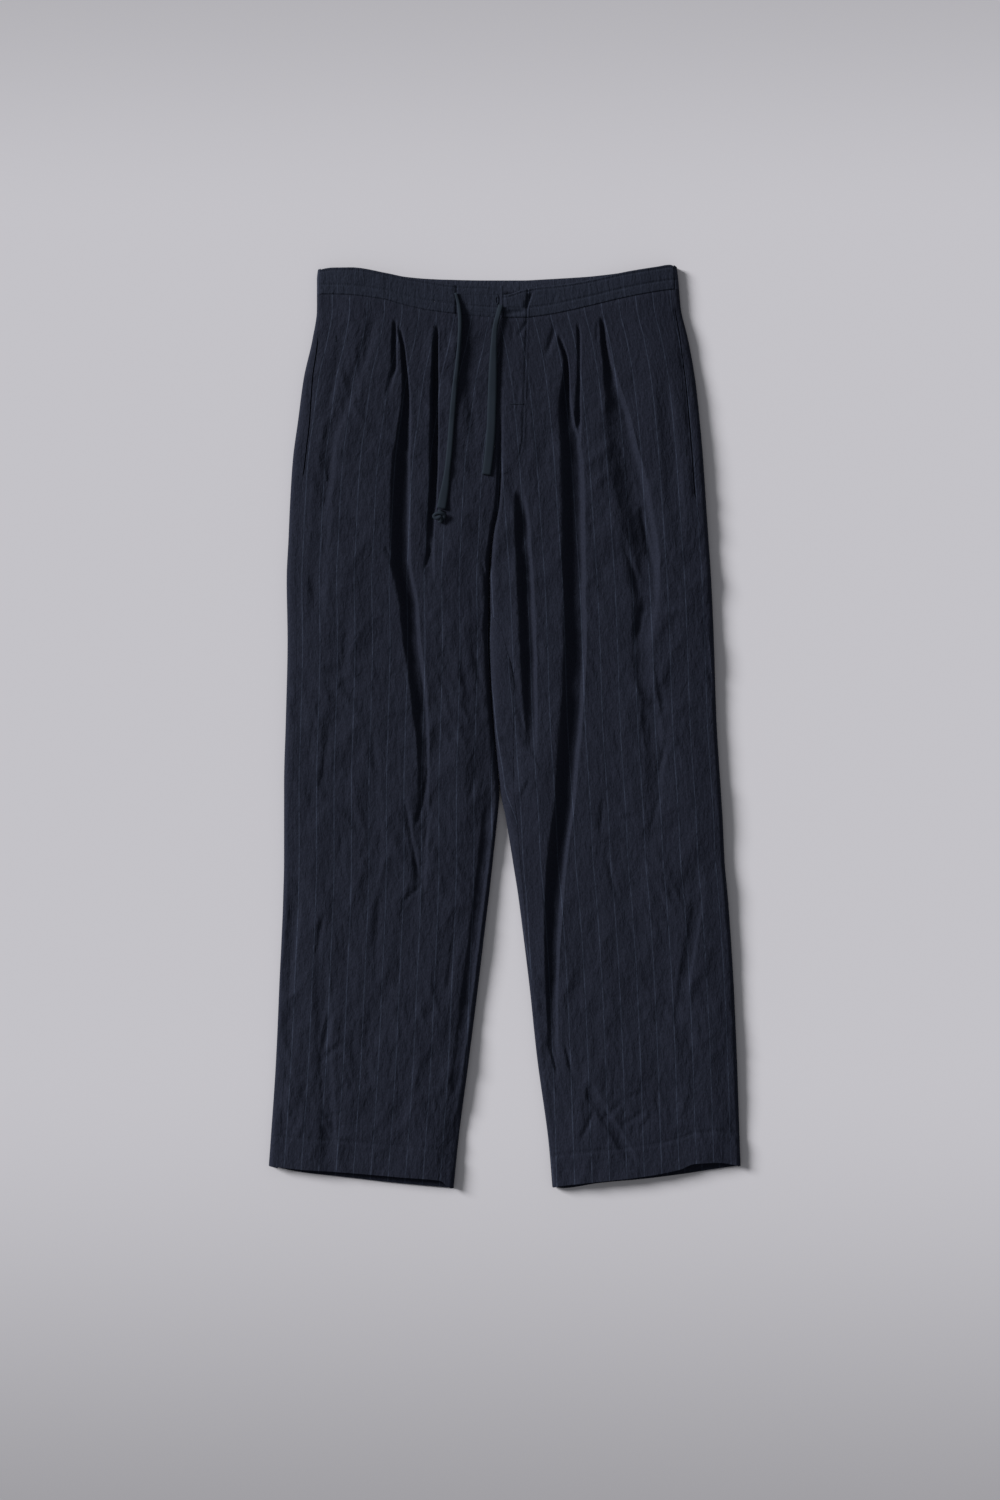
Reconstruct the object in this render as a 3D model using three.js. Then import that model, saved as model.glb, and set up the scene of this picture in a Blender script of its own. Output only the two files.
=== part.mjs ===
// Wool trousers laid flat on a surface, front side up.
// Two fronts with two pleats each, two backs, a drawstring waistband and open hems.
// Millimetres. +X is the viewer's right, +Y runs to the waist and +Z up from the surface.
import * as THREE from 'three';

// Driving dimensions
const LENGTH = 1038;          // highest point of the waist to lowest point of the hems
const CLOTH = 1.2;            // wall of one layer of wool
const HEM_CLOTH = 2.0;        // wall where the hem is turned up
const HEM_DEPTH = 35;
const HEM_THICKENS = { from: 32, to: 12 };   // above the hem's depth
const BAND_CLOTH = 2.0;       // folded band with its interlining
const SEAM_GAP = 0.3;
const LEAST_HEIGHT = 3.6;     // deepest folds stop just above the backs
const SOFTNESS = 0.4;         // over this height
const EDGE_LINE = 4.5;        // height of the outermost line of a rolled edge
const EDGE_DIP = 3.0;         // the fronts sink by this much towards a rolled edge
const EDGE_REACH = 45;        // over this width
const CROTCH = { starts: 250, ends: 372, seamTurns: 40 };   // drops where the centre seam becomes the legs' seams
const ROLL = { outer: 6, inner: 8, under: 5 };
const TAB = { from: -54.6, to: -1.6, lower: 0.9 };
const TAPE = { width: 10, thick: 1.8, step: 11, endLift: 1.6, flat: 0.6, corner: 0.43 };
const KNOT = { wide: 8.2, long: 6.4, high: 3.8, around: 14, rings: 10 };
const BUTTONHOLE = { x: -8.6, drop: 41, wide: 5, long: 11, thick: 0.9, slit: 1.4, segments: 10 };

// Rows and columns of the cloth
const PANEL_ROWS = 32;
const FRONT_COLUMNS = 34;
const BACK_COLUMNS = 18;
const BAND_ROWS = 3;
const BAND_COLUMNS = 16;
const TAB_COLUMNS = 5;
const BEND_WEIGHT = 14;       // millimetres of cloth that one radian of bend counts as
const SAMPLES = 12;           // places tried for each column
const EVENING = 3;            // passes that even the columns out from row to row
const LEVEL_ROWS = { from: 0.22, to: 0.85 };   // share of a panel's rows that run level
const ROW_EASING = { ends: 0.45, hem: 0.1 };   // how strongly the rows gather there
const LEVEL_TOP = 46;         // drops of the first and last rows in the middle of a panel
const LEVEL_HEM = 1025;
const MIDDLE = { left: -120, right: 110 };

// Outline seen from above. The parting is the line between the two legs.
const OUTLINE = table(['drop', 'outerLeft', 'parting', 'gap', 'outerRight'], [
  [0, -209, -4.7, 0.4, 193],
  [17, -211, -4.7, 0.4, 195],
  [50, -211, -4.7, 0.4, 198],
  [84, -216, -4.7, 0.4, 206],
  [129, -226, -4.7, 0.4, 214],
  [174, -232, -4.7, 0.4, 219],
  [219, -238, -4.7, 0.4, 223],
  [264, -241, -6.5, 0.4, 226],
  [309, -243, -14, 0.4, 229],
  [354, -245, -17.4, 0.5, 232],
  [422, -244, -17.7, 0.5, 235],
  [512, -246, -13.2, 0.5, 238],
  [591, -248, -5.3, 0.6, 243],
  [624, -248, -3.4, 10, 245],
  [669, -248, -2.2, 22, 247],
  [714, -249, -1.2, 34, 251],
  [804, -253, -1, 56, 257],
  [894, -257, -1.8, 77, 261],
  [984, -263, -1.5, 101, 264],
  [LENGTH, -267, -1.9, 111, 266],
]);

// Drops of the waist's edges and seams across the width
const WAIST = table(['x', 'backTop', 'frontTop', 'frontSeam', 'backSeam'], [
  [-211, 6, 6.5, 34, 34],
  [-195, 3.4, 4, 34, 33.5],
  [-174, 3.4, 4, 35, 34],
  [-133, 9.4, 10.4, 40.5, 40],
  [-114, 13, 14.5, 46, 43.5],
  [-87, 15.6, 19, 52, 46],
  [-57, 16.8, 23.5, 56, 47.5],
  [-19, 17.4, 25, 59.6, 48],
  [0, 17.4, 35, 60.6, 48],
  [20, 17.4, 29.5, 60.8, 48],
  [40, 16.5, 25.5, 58.7, 47.5],
  [58, 15.5, 24, 55.8, 46],
  [96, 13, 18, 47.3, 43.5],
  [134, 8.5, 9.5, 38.3, 38],
  [172, 2.3, 3, 31, 31],
  [186, 0, 0.8, 29, 29],
  [195, 3.4, 4, 28, 28],
]);
const TAB_TOP = 24.5;

// Drops of the two hems across the width. The backs lie a little lower than the fronts.
const HEM = table(['x', 'back', 'front'], [
  [-266, 1012.5, 1012.5],
  [-230, 1020, 1016],
  [-185, 1025, 1019],
  [-118, 1032.5, 1024.5],
  [-73, 1036.5, 1028.5],
  [-58, 1037.5, 1037.5],
  [53, 1036.5, 1036.5],
  [64, 1038, 1034.5],
  [107, 1032, 1029.5],
  [152, 1028, 1024.5],
  [197, 1022.5, 1016],
  [214, 1020, 1009.5],
  [240, 1016, 1008.5],
  [265, 1012.5, 1012.5],
]);

// How far the fronts stand above the surface
const BODY = table(['drop', 'height'], [
  [0, 12],
  [60, 12],
  [125, 13],
  [220, 14],
  [560, 14],
  [720, 13],
  [900, 12],
  [LENGTH, 11.5],
]);

// How far each seam lies inside the edge that shows, on the front side
const SEAM = {
  left: table(['drop', 'side', 'inside'], [
    [0, 3, 2],
    [56, 3.6, 2],
    [115, 9, 2],
    [210, 14, 2],
    [290, 10.8, 2],
    [LENGTH, 10.5, 2],
  ]),
  right: table(['drop', 'side', 'inside'], [
    [0, 3, 0],
    [50, 6, 0],
    [115, 10.5, 0],
    [230, 12, 0],
    [374, 7, 0],
    [396, 6, 9],
    [434, 4, 20],
    [465, 3, 26],
    [560, 2.6, 18],
    [680, 2.6, 8],
    [800, 2.6, 3],
    [LENGTH, 2.6, 2],
  ]),
};

// Folds of each front: where the trough runs, its reach to both sides and its depth
const REACH_SHARE = 1.36;     // a trough's slopes run on past the reach by this share
const LEAST_REACH = 8;
const FOLD_COLUMNS = ['drop', 'x', 'left', 'right', 'depth'];
const FOLDS = {
  left: {
    sidePleat: table(FOLD_COLUMNS, [
      [68, -118, 4, 3, 0],
      [78, -116, 5, 4, 4],
      [95, -113.5, 5.5, 4, 5],
      [112, -111.5, 6, 4.5, 5.5],
      [135, -110, 7.5, 5, 6.5],
      [163, -110.5, 8.5, 5.5, 7],
      [197, -113, 11, 7, 8.25],
      [235, -115, 15.5, 9.5, 9.5],
      [287, -115.5, 17, 9.5, 9.75],
      [332, -114.5, 18, 9.5, 9.75],
      [354, -111, 17, 10, 9.5],
      [377, -107, 16.5, 9, 9],
      [422, -104.5, 14, 8, 8],
      [467, -99, 13, 7.5, 7.5],
      [512, -94, 12, 6.5, 6.25],
      [546, -90.5, 9.5, 5.5, 4.25],
      [579, -89.5, 9, 5, 2.5],
      [624, -91.5, 10.5, 7, 2],
      [669, -93, 10.5, 7, 1.5],
      [714, -94.5, 10.5, 7, 0],
    ]),
    centrePleat: table(FOLD_COLUMNS, [
      [60, -76, 4, 2.5, 0],
      [69, -76, 4.5, 2.5, 3.5],
      [84, -76, 6, 3, 6],
      [129, -77, 8.5, 3.5, 8],
      [174, -77.5, 9.5, 4, 8.75],
      [219, -78.5, 10, 4, 8.75],
      [253, -80, 9, 4, 7.25],
      [281, -82, 8, 4, 4.5],
      [315, -82.5, 8, 5, 3],
      [349, -83.5, 8, 6, 0],
    ]),
    pocketTrough: table(FOLD_COLUMNS, [
      [62, -147, 7, 7, 0],
      [78, -150, 9, 7, 1.8],
      [104, -158, 10, 8, 1.8],
      [145, -174, 10, 10, 1.2],
      [200, -196, 10, 10, 2],
      [270, -204, 12, 12, 1.4],
      [366, -210, 12, 12, 2],
      [420, -212, 12, 12, 0],
    ]),
    innerLegTrough: table(FOLD_COLUMNS, [
      [575, -16, 7, 8, 0],
      [647, -21, 7, 7, 2.4],
      [714, -29, 7, 7, 2.4],
      [804, -40, 7, 7, 2.2],
      [895, -52, 8, 7, 1.6],
      [960, -62, 8, 8, 0],
    ]),
    kneeTrough: table(FOLD_COLUMNS, [
      [690, -233, 9, 9, 0],
      [738, -237, 9, 9, 2],
      [800, -244, 9, 9, 1.6],
      [860, -249, 9, 9, 0],
    ]),
    hemTrough: table(FOLD_COLUMNS, [
      [770, -208, 11, 11, 0],
      [830, -205, 11, 11, 1.8],
      [967, -199, 11, 11, 1.8],
      [1020, -196, 11, 11, 0.6],
    ]),
  },
  right: {
    centrePleat: table(FOLD_COLUMNS, [
      [70, 60, 5, 3, 0],
      [86, 62.5, 6, 4, 3.75],
      [107, 66, 6.5, 4, 5.25],
      [129, 67.5, 8, 4, 7],
      [152, 69.5, 11.5, 4.5, 8.5],
      [174, 72, 13.5, 5, 9.5],
      [197, 74.5, 15.5, 6.5, 10],
      [231, 76.5, 16.5, 8.5, 10],
      [332, 77.5, 17, 9, 10],
      [377, 78, 17, 9, 10],
      [422, 78.5, 17.5, 9, 10],
      [467, 77.5, 18, 9, 10],
      [512, 75, 17, 9, 10],
      [557, 71.5, 16, 9, 10],
      [602, 67, 15, 9, 9.5],
      [647, 61, 15, 9, 9.25],
      [692, 57, 14, 8, 9],
      [737, 55, 13, 7, 8.25],
      [782, 54.5, 10.5, 5.5, 7],
      [827, 55.5, 9.5, 4, 5.25],
      [872, 56, 8.5, 4, 3],
      [894, 57, 8.5, 4, 0],
    ]),
    sidePleat: table(FOLD_COLUMNS, [
      [58, 108.5, 3, 5, 0],
      [67, 109, 3, 6, 4.25],
      [90, 112, 3.5, 8, 6],
      [129, 116.5, 5, 12, 7],
      [174, 124, 9, 17, 7],
      [208, 131, 13, 19, 7],
      [242, 139, 16, 20, 7],
      [287, 148, 18, 18, 6.5],
      [332, 155, 18, 17, 5.25],
      [377, 156, 14, 14, 4.25],
      [433, 153, 10.5, 13, 2.5],
      [489, 160, 10.5, 13, 2.25],
      [557, 168, 10.5, 13, 1.75],
      [613, 168, 10.5, 13, 0],
    ]),
    flyFold: table(FOLD_COLUMNS, [
      [252, 15, 7, 4, 0],
      [264, 16, 9, 6, 4.5],
      [287, 18, 11, 8, 6.75],
      [332, 21, 13, 9.5, 8],
      [377, 22.5, 12, 9.5, 8],
      [422, 24.5, 11.5, 9, 7.25],
      [467, 26.5, 10, 7.5, 5.5],
      [512, 27.5, 9, 6, 3.75],
      [557, 28, 8, 5, 0],
    ]),
    pocketTrough: table(FOLD_COLUMNS, [
      [110, 176, 10, 10, 0],
      [170, 182, 11, 11, 1.8],
      [260, 190, 12, 12, 1.8],
      [330, 196, 12, 12, 0],
    ]),
    shinTrough: table(FOLD_COLUMNS, [
      [680, 221, 8, 7, 0],
      [740, 213, 9, 7, 1.8],
      [800, 203, 9, 7, 1.8],
      [850, 196, 9, 8, 0],
    ]),
    hemTrough: table(FOLD_COLUMNS, [
      [915, 90, 9, 9, 0],
      [935, 100, 9, 9, 2.2],
      [984, 130, 9, 9, 2.2],
      [1010, 144, 9, 9, 0.6],
    ]),
  },
};

// Free ends of the drawstring, from where each leaves the band
const ROUTE_LEFT = [
  [-55.6, 33],
  [-54.6, 45],
  [-53.4, 60],
  [-54.6, 80],
  [-55.6, 100],
  [-57, 136],
  [-61, 174],
  [-65.5, 212],
  [-69.5, 246],
  [-72.4, 271],
];
const ROUTE_RIGHT = [
  [-4.4, 47],
  [-7.4, 58],
  [-10.4, 71],
  [-12, 90],
  [-13, 117],
  [-14.2, 155],
  [-15.8, 194],
  [-18.6, 222],
  [-20.6, 237],
];
const KNOT_PLACE = { x: -73.4, drop: 283 };

const QUARTER = Math.PI / 2;
const OUTER_ROLL = QUARTER * (ROLL.outer + EDGE_LINE) / 2;
const INNER_ROLL = QUARTER * (ROLL.inner + EDGE_LINE) / 2;
const UNDER_ROLL = QUARTER * (ROLL.under + EDGE_LINE) / 2;

// A smooth curve for each named column of a table, over its first column
function table(columns, rows) {
  const at = rows.map((row) => row[0]);
  const curves = { from: at[0], to: at[at.length - 1] };
  columns.slice(1).forEach((name, index) => {
    curves[name] = smoothCurve(at, rows.map((row) => row[index + 1]));
  });
  return curves;
}

// A cubic through the values that never overshoots them
function smoothCurve(at, value) {
  const last = at.length - 1;
  const rise = [];
  for (let i = 0; i < last; i += 1) {
    rise.push((value[i + 1] - value[i]) / (at[i + 1] - at[i]));
  }
  const slope = at.map((_, i) => {
    if (i === 0) return rise[0];
    if (i === last) return rise[last - 1];
    if (rise[i - 1] * rise[i] <= 0) return 0;
    return 2 * rise[i - 1] * rise[i] / (rise[i - 1] + rise[i]);
  });
  return (x) => {
    if (x <= at[0]) return value[0];
    if (x >= at[last]) return value[last];
    let i = 0;
    while (x > at[i + 1]) i += 1;
    const span = at[i + 1] - at[i];
    const t = (x - at[i]) / span;
    const blend = t * t * (3 - 2 * t);
    const leave = t * (1 - t) * (1 - t) * span * slope[i];
    const arrive = t * t * (t - 1) * span * slope[i + 1];
    return value[i] + (value[i + 1] - value[i]) * blend + leave + arrive;
  };
}

function smoothStep(x, from, to) {
  const t = Math.min(1, Math.max(0, (x - from) / (to - from)));
  return t * t * (3 - 2 * t);
}

const inward = (side) => (side === 'left' ? 1 : -1);
const outerEdge = (side, drop) => (side === 'left' ? OUTLINE.outerLeft(drop) : OUTLINE.outerRight(drop));
const innerEdge = (side, drop) => OUTLINE.parting(drop) - inward(side) * OUTLINE.gap(drop) / 2;
const legShare = (drop) => smoothStep(drop, CROTCH.starts, CROTCH.ends);

function foldDepth(fold, x, drop) {
  if (drop < fold.from || drop > fold.to) return 0;
  const away = x - fold.x(drop);
  const reach = REACH_SHARE * (away < 0 ? fold.left(drop) : fold.right(drop));
  const share = Math.min(1, Math.abs(away) / Math.max(LEAST_REACH, reach));
  return fold.depth(drop) * (1 + Math.cos(Math.PI * share)) / 2;
}

// Height of the front's outer face above the surface
function height(side, x, drop) {
  const fromSide = Math.abs(x - outerEdge(side, drop));
  const fromInside = Math.abs(x - innerEdge(side, drop));
  let z = BODY.height(drop);
  z -= EDGE_DIP * (1 - smoothStep(fromSide, 0, EDGE_REACH));
  z -= EDGE_DIP * legShare(drop) * (1 - smoothStep(fromInside, 0, EDGE_REACH));
  for (const fold of Object.values(FOLDS[side])) {
    z -= foldDepth(fold, x, drop);
  }
  return z + SOFTNESS * Math.log(1 + Math.exp((LEAST_HEIGHT - z) / SOFTNESS));
}

// Lengths round one side's cross-section. The inner roll is cut short above the crotch.
function section(side, drop) {
  const width = Math.abs(innerEdge(side, drop) - outerEdge(side, drop));
  const share = legShare(drop);
  const cut = QUARTER * (1 - share);
  const flat = width - ROLL.outer - ROLL.inner * Math.cos(cut);
  const underFlat = width - ROLL.under * (1 + Math.cos(cut));
  return {
    cut,
    share,
    top: OUTER_ROLL + flat + share * INNER_ROLL,
    under: UNDER_ROLL + underFlat + share * UNDER_ROLL,
  };
}

// A point of the cross-section by its distance from the outermost line, above or below it
function above(side, along, drop) {
  const { cut, share, top } = section(side, drop);
  let x = outerEdge(side, drop) + inward(side) * (ROLL.outer + along - OUTER_ROLL);
  let lift = 1;
  if (along < OUTER_ROLL) {
    const angle = QUARTER * along / OUTER_ROLL;
    x = outerEdge(side, drop) + inward(side) * ROLL.outer * (1 - Math.cos(angle));
    lift = Math.sin(angle);
  }
  if (along > top - share * INNER_ROLL) {
    const angle = cut + QUARTER * (top - along) / INNER_ROLL;
    x = innerEdge(side, drop) - inward(side) * ROLL.inner * (Math.cos(cut) - Math.cos(angle));
    lift = Math.sin(angle);
  }
  const z = EDGE_LINE + (height(side, x, drop) - EDGE_LINE) * lift;
  return new THREE.Vector3(x, LENGTH / 2 - drop, z);
}

function below(side, along, drop) {
  const { cut, share, under } = section(side, drop);
  let x = outerEdge(side, drop) + inward(side) * (ROLL.under + along - UNDER_ROLL);
  let z = 0;
  if (along < UNDER_ROLL) {
    const angle = QUARTER * along / UNDER_ROLL;
    x = outerEdge(side, drop) + inward(side) * ROLL.under * (1 - Math.cos(angle));
    z = EDGE_LINE * (1 - Math.sin(angle));
  }
  if (along > under - share * UNDER_ROLL) {
    const angle = cut + QUARTER * (under - along) / UNDER_ROLL;
    x = innerEdge(side, drop) - inward(side) * ROLL.under * (Math.cos(cut) - Math.cos(angle));
    z = EDGE_LINE * (1 - Math.sin(angle));
  }
  return new THREE.Vector3(x, LENGTH / 2 - drop, z);
}

// One loop round a side: negative on the front, then under the back and up the inside edge
function round(side, along, drop) {
  if (along < 0) return above(side, -along, drop);
  const { share, top, under } = section(side, drop);
  const closed = share === 1;
  if (along <= under || !closed) return below(side, along, drop);
  return above(side, top - (along - under), drop);
}

function outwardNormal(side, along, drop) {
  const reach = 0.4;
  const acrossStep = round(side, along + reach, drop).sub(round(side, along - reach, drop));
  const downStep = round(side, along, drop + reach).sub(round(side, along, drop - reach));
  return acrossStep.cross(downStep).multiplyScalar(inward(side)).normalize();
}

// Distance round a rolled edge for a seam that lies a given width inside it
function seamAlong(inset, roll, rollLength) {
  if (inset >= roll) return rollLength + inset - roll;
  return rollLength * Math.acos(1 - inset / roll) / QUARTER;
}

const sideSeam = (side, drop) => seamAlong(SEAM[side].side(drop), ROLL.outer, OUTER_ROLL);
const insideGap = (drop) => SEAM_GAP / 2 * legShare(drop);

function insideSeam(side, drop) {
  const started = smoothStep(drop, CROTCH.ends, CROTCH.ends + CROTCH.seamTurns);
  return started * seamAlong(SEAM[side].inside(drop), ROLL.inner, INNER_ROLL);
}

// Positions across a piece, closer together where the cloth bends
function spread(count, from, to, pointAt) {
  const samples = count * SAMPLES;
  const turned = [0];
  let before = null;
  for (let i = 1; i <= samples; i += 1) {
    const start = pointAt(from + (to - from) * (i - 1) / samples);
    const step = pointAt(from + (to - from) * i / samples).sub(start);
    const bend = before ? before.angleTo(step) : 0;
    turned.push(turned[i - 1] + step.length() + BEND_WEIGHT * bend);
    before = step;
  }
  const total = turned[samples];
  const places = [];
  let i = 0;
  for (let k = 0; k <= count; k += 1) {
    const wanted = total * k / count;
    while (i < samples - 1 && turned[i + 1] < wanted) i += 1;
    const share = (wanted - turned[i]) / (turned[i + 1] - turned[i]);
    places.push(from + (to - from) * (i + Math.min(1, share)) / samples);
  }
  return places;
}

// A closed wall between two grids of points
function wall(outer, inner) {
  const rows = outer.length;
  const columns = outer[0].length;
  const points = [...outer.flat(), ...inner.flat()];
  const out = (i, j) => i * columns + j;
  const back = (i, j) => rows * columns + i * columns + j;
  const faces = [];
  const quad = (a, b, c, d) => faces.push(a, b, c, a, c, d);
  for (let i = 0; i < rows - 1; i += 1) {
    for (let j = 0; j < columns - 1; j += 1) {
      quad(out(i, j), out(i + 1, j), out(i + 1, j + 1), out(i, j + 1));
      quad(back(i, j), back(i, j + 1), back(i + 1, j + 1), back(i + 1, j));
    }
  }
  for (let i = 0; i < rows - 1; i += 1) {
    quad(out(i + 1, 0), out(i, 0), back(i, 0), back(i + 1, 0));
    quad(out(i, columns - 1), out(i + 1, columns - 1), back(i + 1, columns - 1), back(i, columns - 1));
  }
  for (let j = 0; j < columns - 1; j += 1) {
    quad(out(0, j), out(0, j + 1), back(0, j + 1), back(0, j));
    quad(out(rows - 1, j + 1), out(rows - 1, j), back(rows - 1, j), back(rows - 1, j + 1));
  }
  const volume = signedVolume(points, faces);
  if (volume < 0) {
    faces.reverse();
  }
  const geometry = new THREE.BufferGeometry();
  geometry.setAttribute('position', new THREE.Float32BufferAttribute(points.flatMap((p) => p.toArray()), 3));
  geometry.setIndex(faces);
  geometry.computeVertexNormals();
  return geometry;
}

function signedVolume(points, faces) {
  let sum = 0;
  for (let i = 0; i < faces.length; i += 3) {
    const [a, b, c] = [points[faces[i]], points[faces[i + 1]], points[faces[i + 2]]];
    sum += a.dot(b.clone().cross(c));
  }
  return sum;
}

// Shares across a piece for each row, evened out from row to row
function columnShares(side, { rows, columns, span, dropAt }) {
  let shares = rows.map((row) => {
    const drop = dropAt(MIDDLE[side], row);
    const [from, to] = span(drop);
    const places = spread(columns, from, to, (along) => round(side, along, drop));
    return places.map((place) => (place - from) / (to - from));
  });
  for (let pass = 0; pass < EVENING; pass += 1) {
    shares = shares.map((row, i) => {
      const before = shares[Math.max(0, i - 1)];
      const after = shares[Math.min(shares.length - 1, i + 1)];
      return row.map((share, j) => (before[j] + 2 * share + after[j]) / 4);
    });
  }
  return shares;
}

// A piece of one side: its span round the section, its drops and its wall at each place
function sidePiece(side, piece) {
  const shares = columnShares(side, piece);
  const outer = [];
  const inner = [];
  piece.rows.forEach((row, i) => {
    const nominal = piece.dropAt(MIDDLE[side], row);
    const [from, to] = piece.span(nominal);
    outer.push([]);
    inner.push([]);
    for (const share of shares[i]) {
      const middle = round(side, from + (to - from) * share, nominal);
      const drop = piece.dropAt(middle.x, row);
      const [start, end] = piece.span(drop);
      const along = start + (end - start) * share;
      const point = round(side, along, drop);
      const normal = outwardNormal(side, along, drop);
      outer[i].push(point);
      inner[i].push(point.clone().addScaledVector(normal, -piece.thick(drop)));
    }
  });
  return { outer, inner };
}

const evenly = (count) => Array.from({ length: count + 1 }, (_, i) => i / count);

// Rows down a panel, closer together at the pleats and at the hem
const panelRows = evenly(PANEL_ROWS).map((t) => {
  const eased = t + ROW_EASING.ends * (smoothStep(t, 0, 1) - t);
  return eased + ROW_EASING.hem * (t * t - eased);
});

function clothAt(drop) {
  const turnUp = LENGTH - HEM_DEPTH;
  return CLOTH + (HEM_CLOTH - CLOTH) * smoothStep(drop, turnUp - HEM_THICKENS.from, turnUp - HEM_THICKENS.to);
}

// Rows follow the seam at the top and the hem at the bottom, and run level between them
function panelDrop(row, seam, hem) {
  const atTop = 1 - smoothStep(row, 0, LEVEL_ROWS.from);
  const atHem = smoothStep(row, LEVEL_ROWS.to, 1);
  const level = LEVEL_TOP + (LEVEL_HEM - LEVEL_TOP) * row;
  return level + (seam + SEAM_GAP / 2 - LEVEL_TOP) * atTop + (hem - LEVEL_HEM) * atHem;
}

function bandDrop(row, top, seam) {
  return top + (seam - SEAM_GAP / 2 - top) * row;
}

function frontPanel(side) {
  return sidePiece(side, {
    rows: panelRows,
    columns: FRONT_COLUMNS,
    thick: clothAt,
    span: (drop) => [
      insideSeam(side, drop) + insideGap(drop) - section(side, drop).top,
      -sideSeam(side, drop) - SEAM_GAP / 2,
    ],
    dropAt: (x, row) => panelDrop(row, WAIST.frontSeam(x), HEM.front(x)),
  });
}

function backPanel(side) {
  return sidePiece(side, {
    rows: panelRows,
    columns: BACK_COLUMNS,
    thick: clothAt,
    span: (drop) => [
      -sideSeam(side, drop) + SEAM_GAP / 2,
      section(side, drop).under + insideSeam(side, drop) - insideGap(drop),
    ],
    dropAt: (x, row) => panelDrop(row, WAIST.backSeam(x), HEM.back(x)),
  });
}

const alongTo = (side, x, drop) => OUTER_ROLL + Math.abs(x - outerEdge(side, drop)) - ROLL.outer;

function frontBand(side, end) {
  return sidePiece(side, {
    rows: evenly(BAND_ROWS),
    columns: BAND_COLUMNS,
    thick: () => BAND_CLOTH,
    span: (drop) => [-alongTo(side, end, drop), -sideSeam(side, drop) - SEAM_GAP / 2],
    dropAt: (x, row) => bandDrop(row, WAIST.frontTop(x), WAIST.frontSeam(x)),
  });
}

function backBandHalf(side) {
  return sidePiece(side, {
    rows: evenly(BAND_ROWS),
    columns: BAND_COLUMNS,
    thick: () => BAND_CLOTH,
    span: (drop) => [-sideSeam(side, drop) + SEAM_GAP / 2, section(side, drop).under],
    dropAt: (x, row) => bandDrop(row, WAIST.backTop(x), WAIST.backSeam(x)),
  });
}

// The two halves of the back band joined at the middle into one strip
function backBand() {
  const left = backBandHalf('left');
  const right = backBandHalf('right');
  const join = (a, b) => a.map((row, i) => [...row, ...b[i].slice(0, -1).reverse()]);
  return { outer: join(left.outer, right.outer), inner: join(left.inner, right.inner) };
}

const sideAt = (x, drop) => (x < OUTLINE.parting(drop) ? 'left' : 'right');
const clothTop = (x, drop) => height(sideAt(x, drop), x, drop);

// A patch lying on the fronts, a given distance above or below their face
function patch({ xs, drops, lift, thick }) {
  const outer = drops.map((share) => xs.map((x) => {
    const drop = dropAcross(x, share);
    return new THREE.Vector3(x, LENGTH / 2 - drop, clothTop(x, drop) + lift);
  }));
  const inner = outer.map((row) => row.map((point) => point.clone().setZ(point.z - thick)));
  return { outer, inner };
}

function dropAcross(x, share) {
  const seam = WAIST.frontSeam(x) - SEAM_GAP / 2;
  return TAB_TOP + (seam - TAB_TOP) * share;
}

function bandTab() {
  const xs = evenly(TAB_COLUMNS).map((t) => TAB.from + (TAB.to - TAB.from) * t);
  return patch({ xs, drops: evenly(BAND_ROWS), lift: -TAB.lower, thick: BAND_CLOTH });
}

// Stitched frame of the buttonhole, lying on the tab
function buttonhole() {
  const outline = new THREE.Shape();
  outline.absellipse(0, 0, BUTTONHOLE.wide / 2, BUTTONHOLE.long / 2, 0, 2 * Math.PI);
  const slit = new THREE.Path();
  slit.absellipse(0, 0, BUTTONHOLE.slit / 2, BUTTONHOLE.long / 2 - BUTTONHOLE.slit, 0, 2 * Math.PI);
  outline.holes.push(slit);
  const geometry = new THREE.ExtrudeGeometry(outline, {
    depth: BUTTONHOLE.thick,
    bevelEnabled: false,
    curveSegments: BUTTONHOLE.segments,
  });
  const z = clothTop(BUTTONHOLE.x, BUTTONHOLE.drop) - TAB.lower + SEAM_GAP;
  geometry.translate(BUTTONHOLE.x, LENGTH / 2 - BUTTONHOLE.drop, z);
  return geometry;
}

// Height at which a flat tape rests on whatever is highest under its width
const TAPE_SPOTS = 4;

function restHeight(x, drop) {
  const spots = evenly(TAPE_SPOTS).map((share) => clothTop(x + (share - 0.5) * TAPE.width, drop));
  return Math.max(...spots) + SEAM_GAP + TAPE.thick / 2;
}

function tape(route, endLift) {
  const points = route.map(([x, drop], i) => {
    const lift = i === route.length - 1 ? endLift : 0;
    return new THREE.Vector3(x, LENGTH / 2 - drop, restHeight(x, drop) + lift);
  });
  points[0].x = points[1].x;
  points[0].z = points[1].z;
  const path = new THREE.CatmullRomCurve3(points);
  const sectionShape = new THREE.Shape();
  const halfThick = TAPE.thick / 2;
  const halfWide = TAPE.width / 2;
  const corner = [TAPE.corner * halfThick, halfWide];
  const face = [halfThick, TAPE.flat * halfWide];
  const turns = [[1, 1, face], [1, 1, corner], [-1, 1, corner], [-1, 1, face]];
  const ring = [...turns, ...turns.map(([up, out, place]) => [-up, -out, place])];
  sectionShape.setFromPoints(ring.map(([up, out, [high, wide]]) => new THREE.Vector2(up * high, out * wide)));
  const steps = Math.round(path.getLength() / TAPE.step);
  return new THREE.ExtrudeGeometry(sectionShape, { steps, extrudePath: path, bevelEnabled: false });
}

function knot() {
  const geometry = new THREE.SphereGeometry(1, KNOT.around, KNOT.rings);
  geometry.scale(KNOT.wide, KNOT.long, KNOT.high);
  const { x, drop } = KNOT_PLACE;
  geometry.translate(x, LENGTH / 2 - drop, clothTop(x, drop) + SEAM_GAP + KNOT.high);
  return geometry;
}

const trousers = new THREE.Group();

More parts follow.
